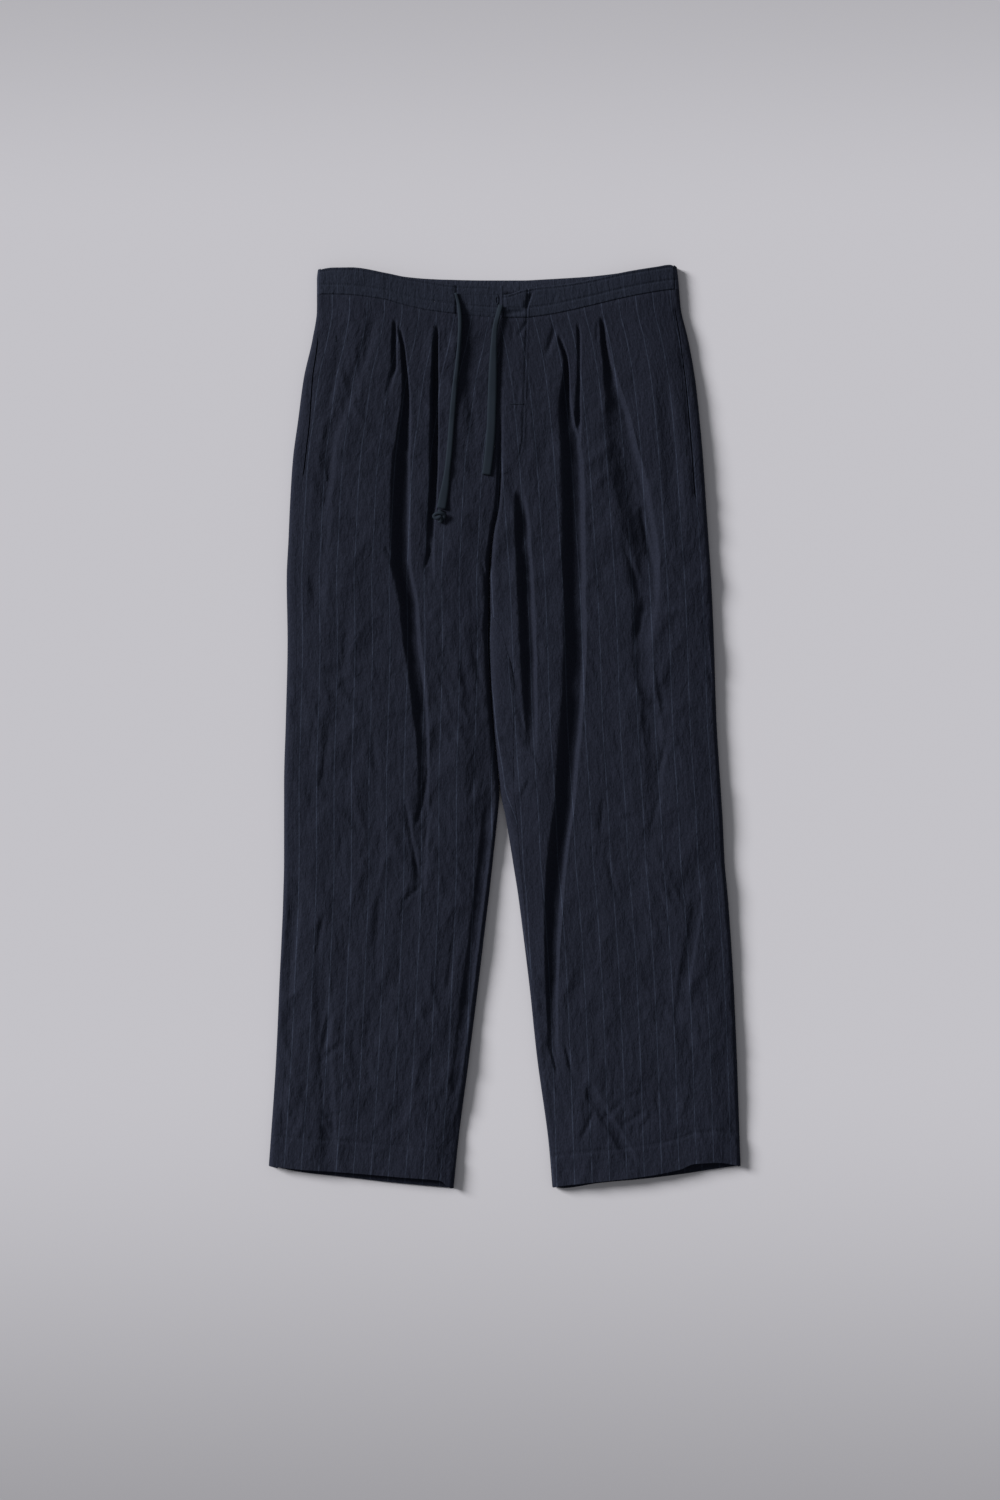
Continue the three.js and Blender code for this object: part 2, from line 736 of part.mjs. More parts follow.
function add(name, geometry, colour) {
  const material = new THREE.MeshStandardMaterial({ color: colour, roughness: 0.92, metalness: 0 });
  const mesh = new THREE.Mesh(geometry, material);
  mesh.name = name;
  trousers.add(mesh);
}

const solid = ({ outer, inner }) => wall(outer, inner);
const WOOL = 0x23262f;
const BAND_WOOL = 0x282a35;
const TAPE_WOOL = 0x252b35;

for (const side of ['left', 'right']) {
  add(`front_${side}`, solid(frontPanel(side)), WOOL);
  add(`back_${side}`, solid(backPanel(side)), WOOL);
}
add('waistband_back', solid(backBand()), BAND_WOOL);
add('waistband_front_left', solid(frontBand('left', TAB.from - SEAM_GAP)), BAND_WOOL);
add('waistband_front_right', solid(frontBand('right', TAB.to + SEAM_GAP)), BAND_WOOL);
add('waistband_tab', solid(bandTab()), BAND_WOOL);
add('buttonhole', buttonhole(), BAND_WOOL);
add('drawstring_left', tape(ROUTE_LEFT, TAPE.endLift), TAPE_WOOL);
add('drawstring_knot', knot(), TAPE_WOOL);
add('drawstring_right', tape(ROUTE_RIGHT, 0), TAPE_WOOL);

export default trousers;
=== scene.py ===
"""Wool trousers laid flat, front side up: cloth, stitching, drawstring and a plain studio."""
import math
from types import SimpleNamespace

import bmesh
import bpy
import numpy as np
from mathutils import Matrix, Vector


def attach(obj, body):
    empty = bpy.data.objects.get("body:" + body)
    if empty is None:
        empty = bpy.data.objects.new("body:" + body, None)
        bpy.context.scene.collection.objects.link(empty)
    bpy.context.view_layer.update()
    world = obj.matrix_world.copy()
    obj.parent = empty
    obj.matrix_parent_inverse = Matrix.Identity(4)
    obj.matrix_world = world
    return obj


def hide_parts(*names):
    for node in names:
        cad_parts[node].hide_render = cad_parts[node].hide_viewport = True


bl_info = {
    "name": "Wool Trousers",
    "version": (1, 0, 0),
    "blender": (4, 5, 0),
    "location": "3D View > Sidebar > Trousers",
    "description": "Builds pleated wool trousers that lie flat, with their stitching and drawstring",
    "category": "Add Mesh",
}

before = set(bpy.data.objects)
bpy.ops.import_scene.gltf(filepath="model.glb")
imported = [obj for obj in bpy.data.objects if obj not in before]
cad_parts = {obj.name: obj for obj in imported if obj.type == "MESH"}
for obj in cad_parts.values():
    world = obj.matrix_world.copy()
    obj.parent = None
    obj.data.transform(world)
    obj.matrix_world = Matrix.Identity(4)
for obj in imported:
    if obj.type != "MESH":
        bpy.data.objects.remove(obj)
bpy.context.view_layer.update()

SIDES = ("left", "right")

# Driving dimensions, in millimetres. A drop is the distance down from the waist's highest place.
MM = 0.001
LENGTH = 1038.0
SEAM_GAP = 0.16
# Height of the edges' middle, and how far and how wide the fronts slope down to them
EDGE_LINE = 4.5
EDGE_DIP = 3.0
EDGE_REACH = 45.0
# Least height of the fronts, and how softly they turn into it
LEAST_HEIGHT = 3.6
LEAST_SOFT = 0.4
# Where the sides start to part into legs, have parted, and their inside seams have their full turn
CROTCH_STARTS = 250.0
CROTCH_ENDS = 372.0
INSIDE_SEAM_TURNS = 412.0
ROLL_OUTER = 6.0
ROLL_INNER = 8.0
ROLL_UNDER = 5.0
HEM_DEPTH = 35.0
HEM_EXTRA = 0.9
# How far above its stitches the hem's cloth starts to thicken and is thick
HEM_THICKENS = (32.0, 12.0)
# How far below its stitches the hem's turn-up starts to stand out and stands out
HEM_RISES = (1.0, 5.0)
BAND_WALL = 1.8
TAB_FROM = -54.6
TAB_TO = -1.6
TAB_LOWER = 0.9
TAB_TOP = 24.5
TAB_STITCH = 9.5
BAND_LOW_STITCH = 11.0
BAND_TOP_STITCH = 3.0
BAND_STITCH_FROM = -203.0
BAND_STITCH_TO = 189.0
BAND_STRIPE_PHASE = 6.0
BUTTONHOLE_X = -8.6
BUTTONHOLE_DROP = 41.0
# Level drops of the panels' rows, and the shares of the rows that bend to the seam and to the hem
LEVEL_TOP = 46.0
LEVEL_HEM = 1025.0
TOP_BENDS = 0.22
HEM_BENDS = 0.85
# Middle of each side, and how much closer the columns lie where the cloth bends
MIDDLE = {"left": -120.0, "right": 110.0}
BEND_WEIGHT = 14.0
# How flat a fold's bottom is: its shaded side runs in softly, its lit side turns up sharply
FOLD_SOFT = 1.4
FOLD_SOFT_REACH = 1.12
FOLD_ROUND = 1.8
CREASE_GAIN = 1.4
# Where along itself a crease starts, is deepest, starts to fade and ends
CREASE_FADES = (-0.05, 0.3, 0.7, 1.05)
FLY_SEAM_X = -4.7
FLY_TOP_X = 27.0
FLY_LOW_X = 22.5
FLY_STARTS = 60.0
FLY_TURNS = 190.0
FLY_ENDS = 238.0
FLY_STEP = 0.9
FLY_STITCH = 2.0
# How soft the edge of the fly's facing is at its side and at its end
FLY_SOFT = 1.2
FLY_END_SOFT = 4.0
# How much closer the columns lie beside the fly's edge, and how far from it
FLY_DENSE = 2.5
FLY_DENSE_REACH = 6.0
# Where each pocket's mouth starts and ends, and how softly
POCKET = {"left": (85.0, 237.0), "right": (50.0, 262.0)}
POCKET_SOFT = 4.0
# How far a pocket's mouth stands open and its edge turns in
POCKET_OPEN = 1.0
POCKET_TURN = {"left": 0.4, "right": 1.3}
# Share of that turn along the rest of the side seam
SEAM_TURN = 0.15
# Where a pinstripe ends and where it has its full colour, in millimetres from its middle
STRIPE_ENDS = 0.65
STRIPE_FULL = 0.25
# Where the extra line of points beside each cut edge lies, as a share of the first cell
EDGE_HOLD = 0.03
# How deep each line of sewing draws the cloth in, how wide, and how high the hem's turn-up stands
GROOVE_WIDTH = 1.3
BAND_GROOVE_WIDTH = 1.1
HEM_GROOVE = 0.8
HEM_STEP = 0.5
BAND_LOW_GROOVE = 0.7
BAND_TOP_GROOVE = 0.6
FLY_GROOVE = 0.9
# How much of the puckers is left at the waistband, at the hem and on the backs
PUCKERS_AT_BAND = 0.25
PUCKERS_AT_HEM = 0.5
PUCKERS_BELOW = 0.35
# How far below the band's seam they grow, and how far above the lowest hem they shrink
BAND_FADE = (2.0, 26.0)
HEM_FADE = (70.0, 45.0)
# How far from their edges the backs start to lift off the surface and are lifted
BACK_LIFTS = (8.0, 24.0)
# How much closer the rows lie near the top and the hem, and over which share of the rows
TOP_DENSE = (0.5, 0.25)
HEM_DENSE = (1.0, 0.05)
# How far each kind of seamed edge sinks
SEAM_TUCK = 0.9
BAND_TUCK = 1.0
BAND_BACK_TUCK = 0.3
TAB_TUCK = 0.5
# Plain stitches: the thread's width, how far it stands off the cloth and a stitch's share of its pitch
THREAD = 0.42
THREAD_LIFT = 0.12
STITCH_SHARE = 0.72
STITCH_STEP = 2.0
# Bar tacks and buttonhole: pitch, stitch length and thread, how far they stand off, and half the hole
TACK_THREAD = (0.55, 2.2, 0.5)
TACK_LIFT = 0.2
HOLE_THREAD = (0.55, 1.9, 0.6)
HOLE_LIFT = 0.35
HOLE_SIZE = (1.5, 4.4)
HEM_STITCH_DROP = 1000.0
HEM_STITCH_INSET = 4.0
# How far the backs' hem stitches lie below the cloth's underside
UNDER_THREAD = 0.02
# Where the pinstripes start on each side, in millimetres
STRIPE_PHASE = {"left": 19.7, "right": 13.1}

# Grid of each piece: rows down it and columns across it
FRONT_GRID = (336, 142)
BACK_GRID = (300, 56)
BAND_GRID = (34, 160)
TAB_GRID = (36, 50)


def smooth_curve(at, value):
    """A cubic through the values that never overshoots them."""
    at = np.asarray(at, float)
    value = np.asarray(value, float)
    rise = np.diff(value) / np.diff(at)
    product = rise[:-1] * rise[1:]
    total = np.where(product > 0, rise[:-1] + rise[1:], 1.0)
    slope = np.concatenate([rise[:1], np.where(product > 0, 2 * product / total, 0.0), rise[-1:]])

    def read(x):
        x = np.clip(x, at[0], at[-1])
        i = np.clip(np.searchsorted(at, x, side="right") - 1, 0, len(at) - 2)
        span = at[i + 1] - at[i]
        t = (x - at[i]) / span
        blend = t * t * (3 - 2 * t)
        leave = t * (1 - t) ** 2 * span * slope[i]
        arrive = t * t * (t - 1) * span * slope[i + 1]
        return value[i] + (value[i + 1] - value[i]) * blend + leave + arrive

    return read


def table(columns, rows):
    """A smooth curve for each named column, over the first column."""
    at = [row[0] for row in rows]
    curves = {}
    for k, name in enumerate(columns.split()[1:], 1):
        curves[name] = smooth_curve(at, [row[k] for row in rows])
    return SimpleNamespace(start=at[0], end=at[-1], **curves)


# Outline seen from above. The parting is the line between the two legs.
OUTLINE = table("drop left parting gap right", [
    (0, -209, -4.7, 0.1, 193), (17, -211, -4.7, 0.1, 195), (50, -211, -4.7, 0.1, 198),
    (84, -216, -4.7, 0.1, 206), (129, -226, -4.7, 0.1, 214), (174, -232, -4.7, 0.1, 219),
    (219, -238, -4.7, 0.1, 223), (264, -241, -6.5, 0.1, 226), (309, -243, -14, 0.1, 229),
    (354, -245, -17.4, 0.1, 232), (422, -244, -17.7, 0.1, 235), (512, -246, -13.2, 0.1, 238),
    (585, -248, -6, 0.3, 242.5), (624, -248, -3.4, 10, 245), (669, -248, -2.2, 22, 247),
    (714, -249, -1.2, 34, 251), (804, -253, -1, 56, 257), (894, -257, -1.8, 77, 261),
    (984, -263, -1.5, 101, 264), (LENGTH, -267, -1.9, 111, 266),
])

# Drops of the waist's edges and seams across the width
WAIST = table("x back_top front_top front_seam back_seam", [
    (-211, 6, 6.5, 34, 34), (-195, 3.4, 4, 34, 33.5), (-174, 3.4, 4, 35, 34),
    (-133, 9.4, 10.4, 40.5, 40), (-114, 13, 14.5, 46, 43.5), (-87, 15.6, 19, 52, 46),
    (-57, 16.8, 23.5, 56, 47.5), (-19, 17.4, 25, 59.6, 48), (0, 17.4, 35, 60.6, 48),
    (20, 17.4, 29.5, 60.8, 48), (40, 16.5, 25.5, 58.7, 47.5), (58, 15.5, 24, 55.8, 46),
    (96, 13, 18, 47.3, 43.5), (134, 8.5, 9.5, 38.3, 38), (172, 2.3, 3, 31, 31), (186, 0, 0.8, 29, 29),
    (195, 3.4, 4, 28, 28),
])

# Drops of the two hems across the width. The backs lie a little lower than the fronts.
HEM = table("x back front", [
    (-266, 1012.5, 1012.5), (-230, 1020, 1016), (-185, 1025, 1019), (-118, 1032.5, 1024.5),
    (-73, 1036.5, 1028.5), (-58, 1037.5, 1037.5), (53, 1036.5, 1036.5), (64, 1038, 1034.5),
    (107, 1032, 1029.5), (152, 1028, 1024.5), (197, 1022.5, 1016), (214, 1020, 1009.5),
    (240, 1016, 1008.5), (265, 1012.5, 1012.5),
])

# How far the fronts stand above the surface
BODY = table("drop height", [
    (0, 12), (60, 12), (125, 13), (220, 14), (560, 14), (720, 13), (900, 12), (LENGTH, 11.5),
])

# How far each seam lies inside the edge that shows, on the front side
SEAM = {
    "left": table("drop side inside", [
        (0, 3, 2), (56, 3.6, 2), (115, 9, 2), (210, 14, 2), (290, 10.8, 2), (LENGTH, 10.5, 2),
    ]),
    "right": table("drop side inside", [
        (0, 3, 0), (50, 6, 0), (115, 10.5, 0), (230, 12, 0), (374, 7, 0), (396, 6, 9), (434, 4, 20),
        (465, 3, 26), (560, 2.6, 18), (680, 2.6, 8), (800, 2.6, 3), (LENGTH, 2.6, 2),
    ]),
}


def fold(*rows):
    """One fold: where its trough runs down the front, its reach to both sides and its depth."""
    return table("drop x left right depth", rows)


# Folds of each front
FOLDS = {
    "left": [
        # Side pleat
        fold(
            (70, -118, 3, 2, 0), (80, -116.5, 3, 2.5, 3), (90, -114.5, 3, 3, 4), (107, -112.5, 4, 3, 5),
            (129, -110.5, 4.5, 3.5, 6), (152, -109.5, 6, 4, 7), (174, -110, 8.5, 5, 8),
            (197, -111, 11, 6, 8.5), (219, -112, 13.5, 6.5, 9.5), (242, -112.5, 15, 7, 9.75),
            (287, -112.5, 15.5, 7, 9.75), (332, -112, 16, 7, 9.75), (354, -109, 15, 7, 9.5),
            (377, -104.5, 14, 7.5, 9.25), (422, -101, 13, 7.5, 8.25), (467, -95, 12.5, 7, 7.75),
            (512, -91, 11, 6, 6.5), (546, -89.5, 8.5, 5.5, 4.25), (579, -89.5, 8, 5, 2.5),
            (624, -91.5, 10.5, 7, 2), (669, -93, 10.5, 7, 1.5), (714, -94.5, 10.5, 7, 0),
        ),
        # Second line of the side pleat, short and on its outer side
        fold(
            (62, -123, 2.5, 2.5, 0), (70, -123.25, 3, 2.5, 3), (90, -123.25, 4, 3, 4),
            (114, -123, 4.5, 3, 4), (130, -127, 4.5, 3.5, 2.25), (152, -132, 5, 4, 0),
        ),
        # Centre pleat
        fold(
            (69, -76, 3, 2, 0), (76, -76, 4, 2.5, 4), (92, -76.25, 5, 2.5, 6.5),
            (129, -76.25, 6.5, 3, 8), (174, -76.5, 7.25, 3, 8.75), (219, -77, 7.5, 3.5, 8.75),
            (247, -78, 7, 3.5, 7.5), (270, -79.5, 6.5, 4, 5), (300, -82, 6, 4, 3.25),
            (335, -83.5, 6, 5, 2), (355, -84, 6, 6, 0),
        ),
        # Trough below the pocket
        fold(
            (62, -147, 7, 7, 0), (78, -150, 9, 7, 1.8), (104, -158, 10, 8, 1.8),
            (145, -174, 10, 10, 1.2), (200, -196, 10, 10, 2), (270, -204, 12, 12, 1.4),
            (366, -210, 12, 12, 2), (420, -212, 12, 12, 0),
        ),
        # Trough beside the inner leg's edge
        fold(
            (575, -16, 7, 8, 0), (647, -21, 7, 7, 2.4), (714, -29, 7, 7, 2.4), (804, -40, 7, 7, 2.2),
            (895, -52, 8, 7, 1.6), (960, -62, 8, 8, 0),
        ),
        # Trough at the knee
        fold(
            (690, -233, 9, 9, 0), (738, -237, 9, 9, 2), (800, -244, 9, 9, 1.6), (860, -249, 9, 9, 0),
        ),
        # Trough above the hem
        fold(
            (770, -208, 11, 11, 0), (830, -205, 11, 11, 1.8), (967, -199, 11, 11, 1.8),
            (1020, -196, 11, 11, 0.6),
        ),
    ],
    "right": [
        # Centre pleat
        fold(
            (78, 60.5, 3, 3, 0), (90, 64, 3.5, 3, 3.5), (107, 69, 3.5, 3, 5), (129, 70.5, 6, 3, 7.25),
            (152, 70.5, 9.5, 4, 8.75), (174, 73, 12, 5, 9.5), (197, 77, 15.5, 7, 10),
            (231, 80.5, 17.5, 8.5, 10), (332, 82, 18, 9, 10), (377, 83, 17, 8, 10),
            (422, 84, 18, 8, 10), (467, 82.5, 18, 8, 10), (512, 79.5, 17.5, 8, 10),
            (557, 75, 16.5, 8, 10), (602, 71.5, 15, 8, 9.5), (647, 65, 15, 8, 9.25),
            (692, 60.5, 14.5, 7.5, 9), (737, 57.5, 13, 7, 8.25), (782, 56, 11, 5.5, 7),
            (827, 56, 9.5, 4, 5.25), (872, 56, 8.5, 4, 3), (894, 57, 8.5, 4, 0),
        ),
        # Hollow on the other side of the centre pleat's tongue
        fold(
            (66, 82, 2.5, 2.5, 0), (76, 83, 2.5, 2.5, 2.5), (92, 83.5, 2.5, 2.5, 2.2),
            (120, 83.5, 2.5, 2.5, 2.5), (150, 83, 3.5, 3, 3), (175, 82.5, 4.5, 3.5, 4),
            (192, 82, 5, 4, 3.5), (208, 81, 5, 5, 0),
        ),
        # Side pleat
        fold(
            (60, 108.5, 2.5, 3, 0), (69, 109.5, 3, 4, 4), (90, 111.5, 3.5, 5, 5.5), (110, 115, 5, 6, 6),
            (129, 119, 8, 8, 6.5), (152, 126, 14, 9, 6.5), (174, 133, 21, 9, 6.5),
            (208, 140, 25, 10, 7), (242, 149, 28, 11, 7), (287, 158, 28, 10, 6.5),
            (332, 165, 26, 9, 5.5), (377, 162, 20, 12, 4), (433, 153, 10.5, 13, 2.5),
            (489, 160, 10.5, 13, 2.25), (557, 168, 10.5, 13, 1.75), (613, 168, 10.5, 13, 0),
        ),
        # Fold that runs down from the fly
        fold(
            (256, 17, 6, 4, 0), (264, 19, 8.5, 5, 4.5), (287, 21.5, 10.5, 6, 7),
            (309, 23, 11.5, 6.5, 8), (354, 25.5, 12, 7, 8.25), (399, 27.5, 12, 7, 8),
            (433, 29, 12, 7, 7.5), (467, 30, 11.5, 6.5, 6), (512, 31.5, 9.5, 5.5, 4),
            (557, 31.5, 8, 5, 0),
        ),
        # Trough below the pocket
        fold(
            (110, 176, 10, 10, 0), (170, 182, 11, 11, 1.8), (260, 190, 12, 12, 1.8),
            (330, 196, 12, 12, 0),
        ),
        # Trough down the shin
        fold(
            (680, 221, 8, 7, 0), (740, 213, 9, 7, 1.8), (800, 203, 9, 7, 1.8), (850, 196, 9, 8, 0),
        ),
        # Slanting trough above the hem
        fold(
            (915, 90, 9, 9, 0), (935, 100, 9, 9, 2.2), (984, 130, 9, 9, 2.2), (1010, 144, 9, 9, 0.6),
        ),
    ],
}

# How deep the cloth sinks along the parting, from the centre seam down to where the legs part
CREVICE = table("drop depth", [
    (165, 0), (190, 2), (230, 3.8), (300, 4.4), (372, 3.2), (450, 2.8), (560, 2.4), (610, 0),
])
CREVICE_WIDTH = 2.4

# Small creases of the fronts: from one place to another, each an x and a drop, with how far the
# crease bows aside, its reach to both sides and its depth
CREASES = [
    # Left side and pocket
    (-189, 90, -190, 125, 1, 3, 2.5, 0.9), (-180, 90, -202, 175, 0, 7, 6, 1.0),
    (-185, 152, -201, 174, 0, 3, 3, 0.9), (-194, 197, -206, 287, 2, 8, 7, 1.1),
    # Left pleats
    (-135, 315, -127, 332, 0, 3, 3, 1.2), (-112, 332, -104, 366, 0, 3, 3, 0.8),
    (-82, 315, -90, 343, 0, 4, 3, 1.4), (-45, 107, -32, 197, 0, 8, 8, 1.0),
    (-56, 377, -39, 512, 0, 9, 8, 0.8),
    # Left knee
    (-174, 377, -183, 489, 0, 9, 9, 0.8), (-197, 512, -206, 602, 0, 7, 7, 0.7),
    (-149, 523, -140, 602, 0, 7, 6, 0.7), (-114, 585, -95, 697, -1, 4, 4, 1.3),
    (-84, 551, -104, 641, 3, 4, 4, 1.2), (-80, 590, -90, 658, 0, 5, 4, 0.8),
    (-88, 690, -120, 720, 1, 3, 3, 1.1),
    # Left shin and hem
    (-202, 720, -212, 782, 0, 5, 4, 1.0), (-142, 692, -147, 782, 2, 6, 6, 0.8),
    (-191, 827, -206, 894, 0, 6, 5, 1.2), (-180, 872, -210, 897, 0, 3, 3, 1.1),
    (-56, 748, -67, 827, 1, 5, 5, 0.8), (-230, 948, -191, 960, 1, 3, 3, 0.9),
    (-213, 964, -174, 948, 0, 3, 3, 0.7),
    # Waistband
    (31, 31, 24, 53, 0, 6, 2, 1.5), (0, 55, 25, 54, 0, 4, 5, 1.3), (57, 34, 56, 44, 0, 3, 2, 0.5),
    # Fly and right pleats
    (58, 68, 45, 107, 1, 6, 3, 1.6), (26, 64, 13, 84, 0, 3, 3, 1.0), (10, 67, 8, 87, 0, 2, 2, 1.0),
    (16, 129, 14, 163, 0, 3, 3, 0.8), (104, 64, 103, 90, 0, 3, 3, 0.7),
    # Right thigh
    (152, 264, 170, 349, -2, 5, 4, 1.6), (131, 304, 152, 377, 1, 5, 5, 1.4),
    (158, 377, 147, 422, 0, 7, 6, 1.3), (169, 444, 179, 512, 0, 6, 6, 1.1),
    (225, 400, 233, 489, 0, 5, 4, 0.8), (0, 534, 17, 546, 0, 3, 3, 0.9),
    (6, 552, 22, 562, 0, 3, 3, 0.8),
    # Inner edges of both thighs
    (3, 434, 13, 489, 3, 3, 3, 1.0), (13, 489, 22, 525, 0, 3, 3, 1.1), (-8, 514, 1, 548, 0, 3, 2, 1.2),
    (10, 549, 27, 540, 1, 3, 3, 1.0), (-2, 534, 9, 563, -1, 2, 3, 1.0),
    (30, 575, 14, 604, 1, 3, 3, 0.9), (-26, 330, -19, 378, 1, 4, 3, 1.3),
    (-33, 428, -24, 482, -2, 4, 4, 1.0), (-30, 560, -41, 606, 0, 4, 3, 1.0),
    # Right knee and shin
    (184, 523, 169, 591, 0, 5, 5, 1.2), (175, 591, 163, 636, 0, 4, 4, 1.0),
    (111, 596, 107, 641, 0, 4, 3, 1.1), (116, 627, 152, 620, 1, 3, 3, 1.0),
    (113, 658, 128, 720, 0, 4, 3, 0.9), (53, 883, 59, 911, 0, 3, 2.5, 1.5),
    (68, 872, 76, 911, 0, 4, 3, 1.2),
    # Right hem
    (85, 984, 102, 945, 0, 4, 3, 1.1), (107, 962, 135, 937, 0, 3, 3, 1.3),
    (135, 937, 161, 928, 0, 3, 3, 1.1), (128, 969, 161, 948, 0, 3, 3, 1.1),
    (152, 971, 166, 953, 0, 3, 3, 0.8),
]

# Creases of the backs, which lie below and only lift off the surface
BACK_CREASES = [
    (-150, 70, -128, 260, 4, 9, 8, 0.9), (-90, 240, -64, 420, -3, 8, 9, 0.8),
    (-205, 330, -188, 560, 3, 9, 8, 0.8), (-120, 520, -96, 700, -4, 8, 8, 0.9),
    (-60, 610, -84, 800, 3, 7, 8, 0.7), (-196, 760, -214, 930, 2, 8, 7, 0.8),
    (-130, 860, -118, 985, -2, 7, 7, 0.6), (60, 90, 78, 290, -4, 8, 9, 0.9),
    (140, 150, 160, 330, 3, 9, 8, 0.8), (40, 400, 66, 600, 4, 8, 8, 0.8),
    (186, 420, 170, 650, -3, 9, 9, 0.8), (96, 640, 112, 820, 3, 7, 8, 0.9),
    (206, 740, 196, 900, 2, 8, 7, 0.7), (120, 880, 150, 1000, -2, 7, 7, 0.6),
]

# Free ends of the drawstring, from where each leaves the band: x and drop
ROUTE_LEFT = [
    (-55, 33), (-52, 45), (-50, 62), (-50.4, 84), (-52.4, 107), (-56, 140), (-59, 174), (-62, 212),
    (-66, 246), (-71, 275),
]
ROUTE_RIGHT = [
    (-4.4, 47), (-7.4, 58), (-10.4, 71), (-12, 90), (-13, 117), (-14.2, 155), (-15.8, 194),
    (-18.6, 222), (-20.6, 237),
]
KNOT_X = -73.4
KNOT_DROP = 283.0
# How far the pulled knot is squeezed across, along and above
KNOT_PULLED = (0.82, 0.72, 0.9)
# The knot's tape: half its width and thickness, and how much narrower and how uneven it is
KNOT_HALF_WIDE = 3.1
KNOT_HALF_THICK = 1.6
KNOT_NARROWER = 0.5
KNOT_UNEVEN = 0.3
KNOT_WAVES = 19
KNOT_STEP = 0.6
KNOT_SIDES = 12
TAPE_WIDTH = 10.0
TAPE_WALL = 1.7
TAPE_LANES = 9
TAPE_STEP = 2.0
# How far each free end lifts off the cloth and how tall it stands on its edge
TAPE_END_LIFT = 1.6
TAPE_HOVER = 0.7
TAPE_BULGE = 2.2
TAPE_TALL = {"left": 4.6, "right": 1.2}
# Path of the overhand knot from where the tape enters it to its tail: across, along and above
KNOT_PATH = [
    (1.2, 9, 2.0), (1.0, 5, 2.6), (0.4, 0, 2.2), (2.2, -4.4, 2.4), (6.2, -3.4, 3.6), (6.4, 1.6, 5.0),
    (1.6, 3.6, 6.4), (-4.6, 2.6, 5.6), (-6.8, -1.4, 3.6), (-3.2, -3.6, 4.4), (1.4, -2.2, 5.4),
    (2.6, -6.4, 3.4), (1.2, -10.6, 1.8),
]

# Bar tacks: middle, half length along x and half length along the drop
TACKS = [
    (13, 157.5, 7, 0), (-189.5, 84, 0, 3.5), (-200, 240, 0, 3.5), (199.5, 110, 0, 3.5),
    (203, 212, 0, 3.5),
]

QUARTER = math.pi / 2
OUTER_ROLL = QUARTER * (ROLL_OUTER + EDGE_LINE) / 2
INNER_ROLL = QUARTER * (ROLL_INNER + EDGE_LINE) / 2
UNDER_ROLL = QUARTER * (ROLL_UNDER + EDGE_LINE) / 2


# Shape of the cloth
def points_at(x, drop, z):
    return np.stack([x, LENGTH / 2 - drop, z], axis=-1)


def smooth_step(x, start, end):
    t = np.clip((x - start) / (end - start), 0.0, 1.0)
    return t * t * (3 - 2 * t)


def inward(side):
    return 1.0 if side == "left" else -1.0


def outer_edge(side, drop):
    return getattr(OUTLINE, side)(drop)


def inner_edge(side, drop):
    return OUTLINE.parting(drop) - inward(side) * OUTLINE.gap(drop) / 2


def leg_share(drop):
    return smooth_step(drop, CROTCH_STARTS, CROTCH_ENDS)


def hump(share):
    """Falls from 1 in the middle to 0 where the share is 1."""
    return (1 + np.cos(math.pi * np.minimum(1.0, share))) / 2


def fold_depth(fold, x, drop):
    away = x - fold.x(drop)
    reach = np.where(away < 0, FOLD_SOFT_REACH * fold.left(drop), fold.right(drop))
    share = np.minimum(1.0, np.abs(away) / reach) ** np.where(away < 0, FOLD_SOFT, FOLD_ROUND)
    inside = (drop >= fold.start) & (drop <= fold.end)
    return np.where(inside, fold.depth(drop) * hump(share), 0.0)


def crease_depth(crease, x, drop):
    from_x, from_drop, to_x, to_drop, bow, left, right, depth = crease
    run_x, run_drop = to_x - from_x, to_drop - from_drop
    length = math.hypot(run_x, run_drop)
    along = ((x - from_x) * run_x + (drop - from_drop) * run_drop) / length ** 2
    away = ((x - from_x) * run_drop - (drop - from_drop) * run_x) / length
    away = away - bow * 4 * along * (1 - along)
    fade = smooth_step(along, *CREASE_FADES[:2]) * (1 - smooth_step(along, *CREASE_FADES[2:]))
    return depth * fade * hump(np.abs(away) / np.where(away < 0, left, right))


class Noise:
    """Smooth random heights over a plane, with a fixed seed."""

    def __init__(self, seed):
        self.size = 256
        self.values = np.random.RandomState(seed).uniform(-1, 1, (self.size, self.size))

    def __call__(self, u, v):
        i = np.floor(u).astype(int)
        j = np.floor(v).astype(int)
        s = u - i
        t = v - j
        s = s * s * (3 - 2 * s)
        t = t * t * (3 - 2 * t)
        low = self.at(i, j) * (1 - s) + self.at(i + 1, j) * s
        high = self.at(i, j + 1) * (1 - s) + self.at(i + 1, j + 1) * s
        return low * (1 - t) + high * t

    def at(self, i, j):
        return self.values[i % self.size, j % self.size]


WARP = Noise(3)
LONG_CRINKLE = Noise(11)
MID_CRINKLE = Noise(23)
SMALL_CRINKLE = Noise(37)

# Layers of the puckers: noise, height, lean across and down, size across and down, where in the
# noise they start, and whether they fold into sharp lines
CRINKLES = [
    (LONG_CRINKLE, 0.9, 0, 0, 24, 70, 40, 9, False),
    (MID_CRINKLE, -1.9, 0.35, -0.3, 30, 52, 60, 17, True),
    (MID_CRINKLE, -1.3, -0.6, 0.5, 21, 36, 30, 77, True),
    (SMALL_CRINKLE, -0.6, 0, 0, 8, 17, 90, 29, True),
    (SMALL_CRINKLE, 0.22, 0, 0, 4.2, 6.5, 10, 129, False),
]
# Mean depth of the layers, which is added back
CRINKLE_LEVEL = 1.3
# Share of the puckers at the top, and where the rest of them start and are all there
CRINKLE_ABOVE = 0.75
CRINKLE_STARTS = 280.0
CRINKLE_FULL = 480.0
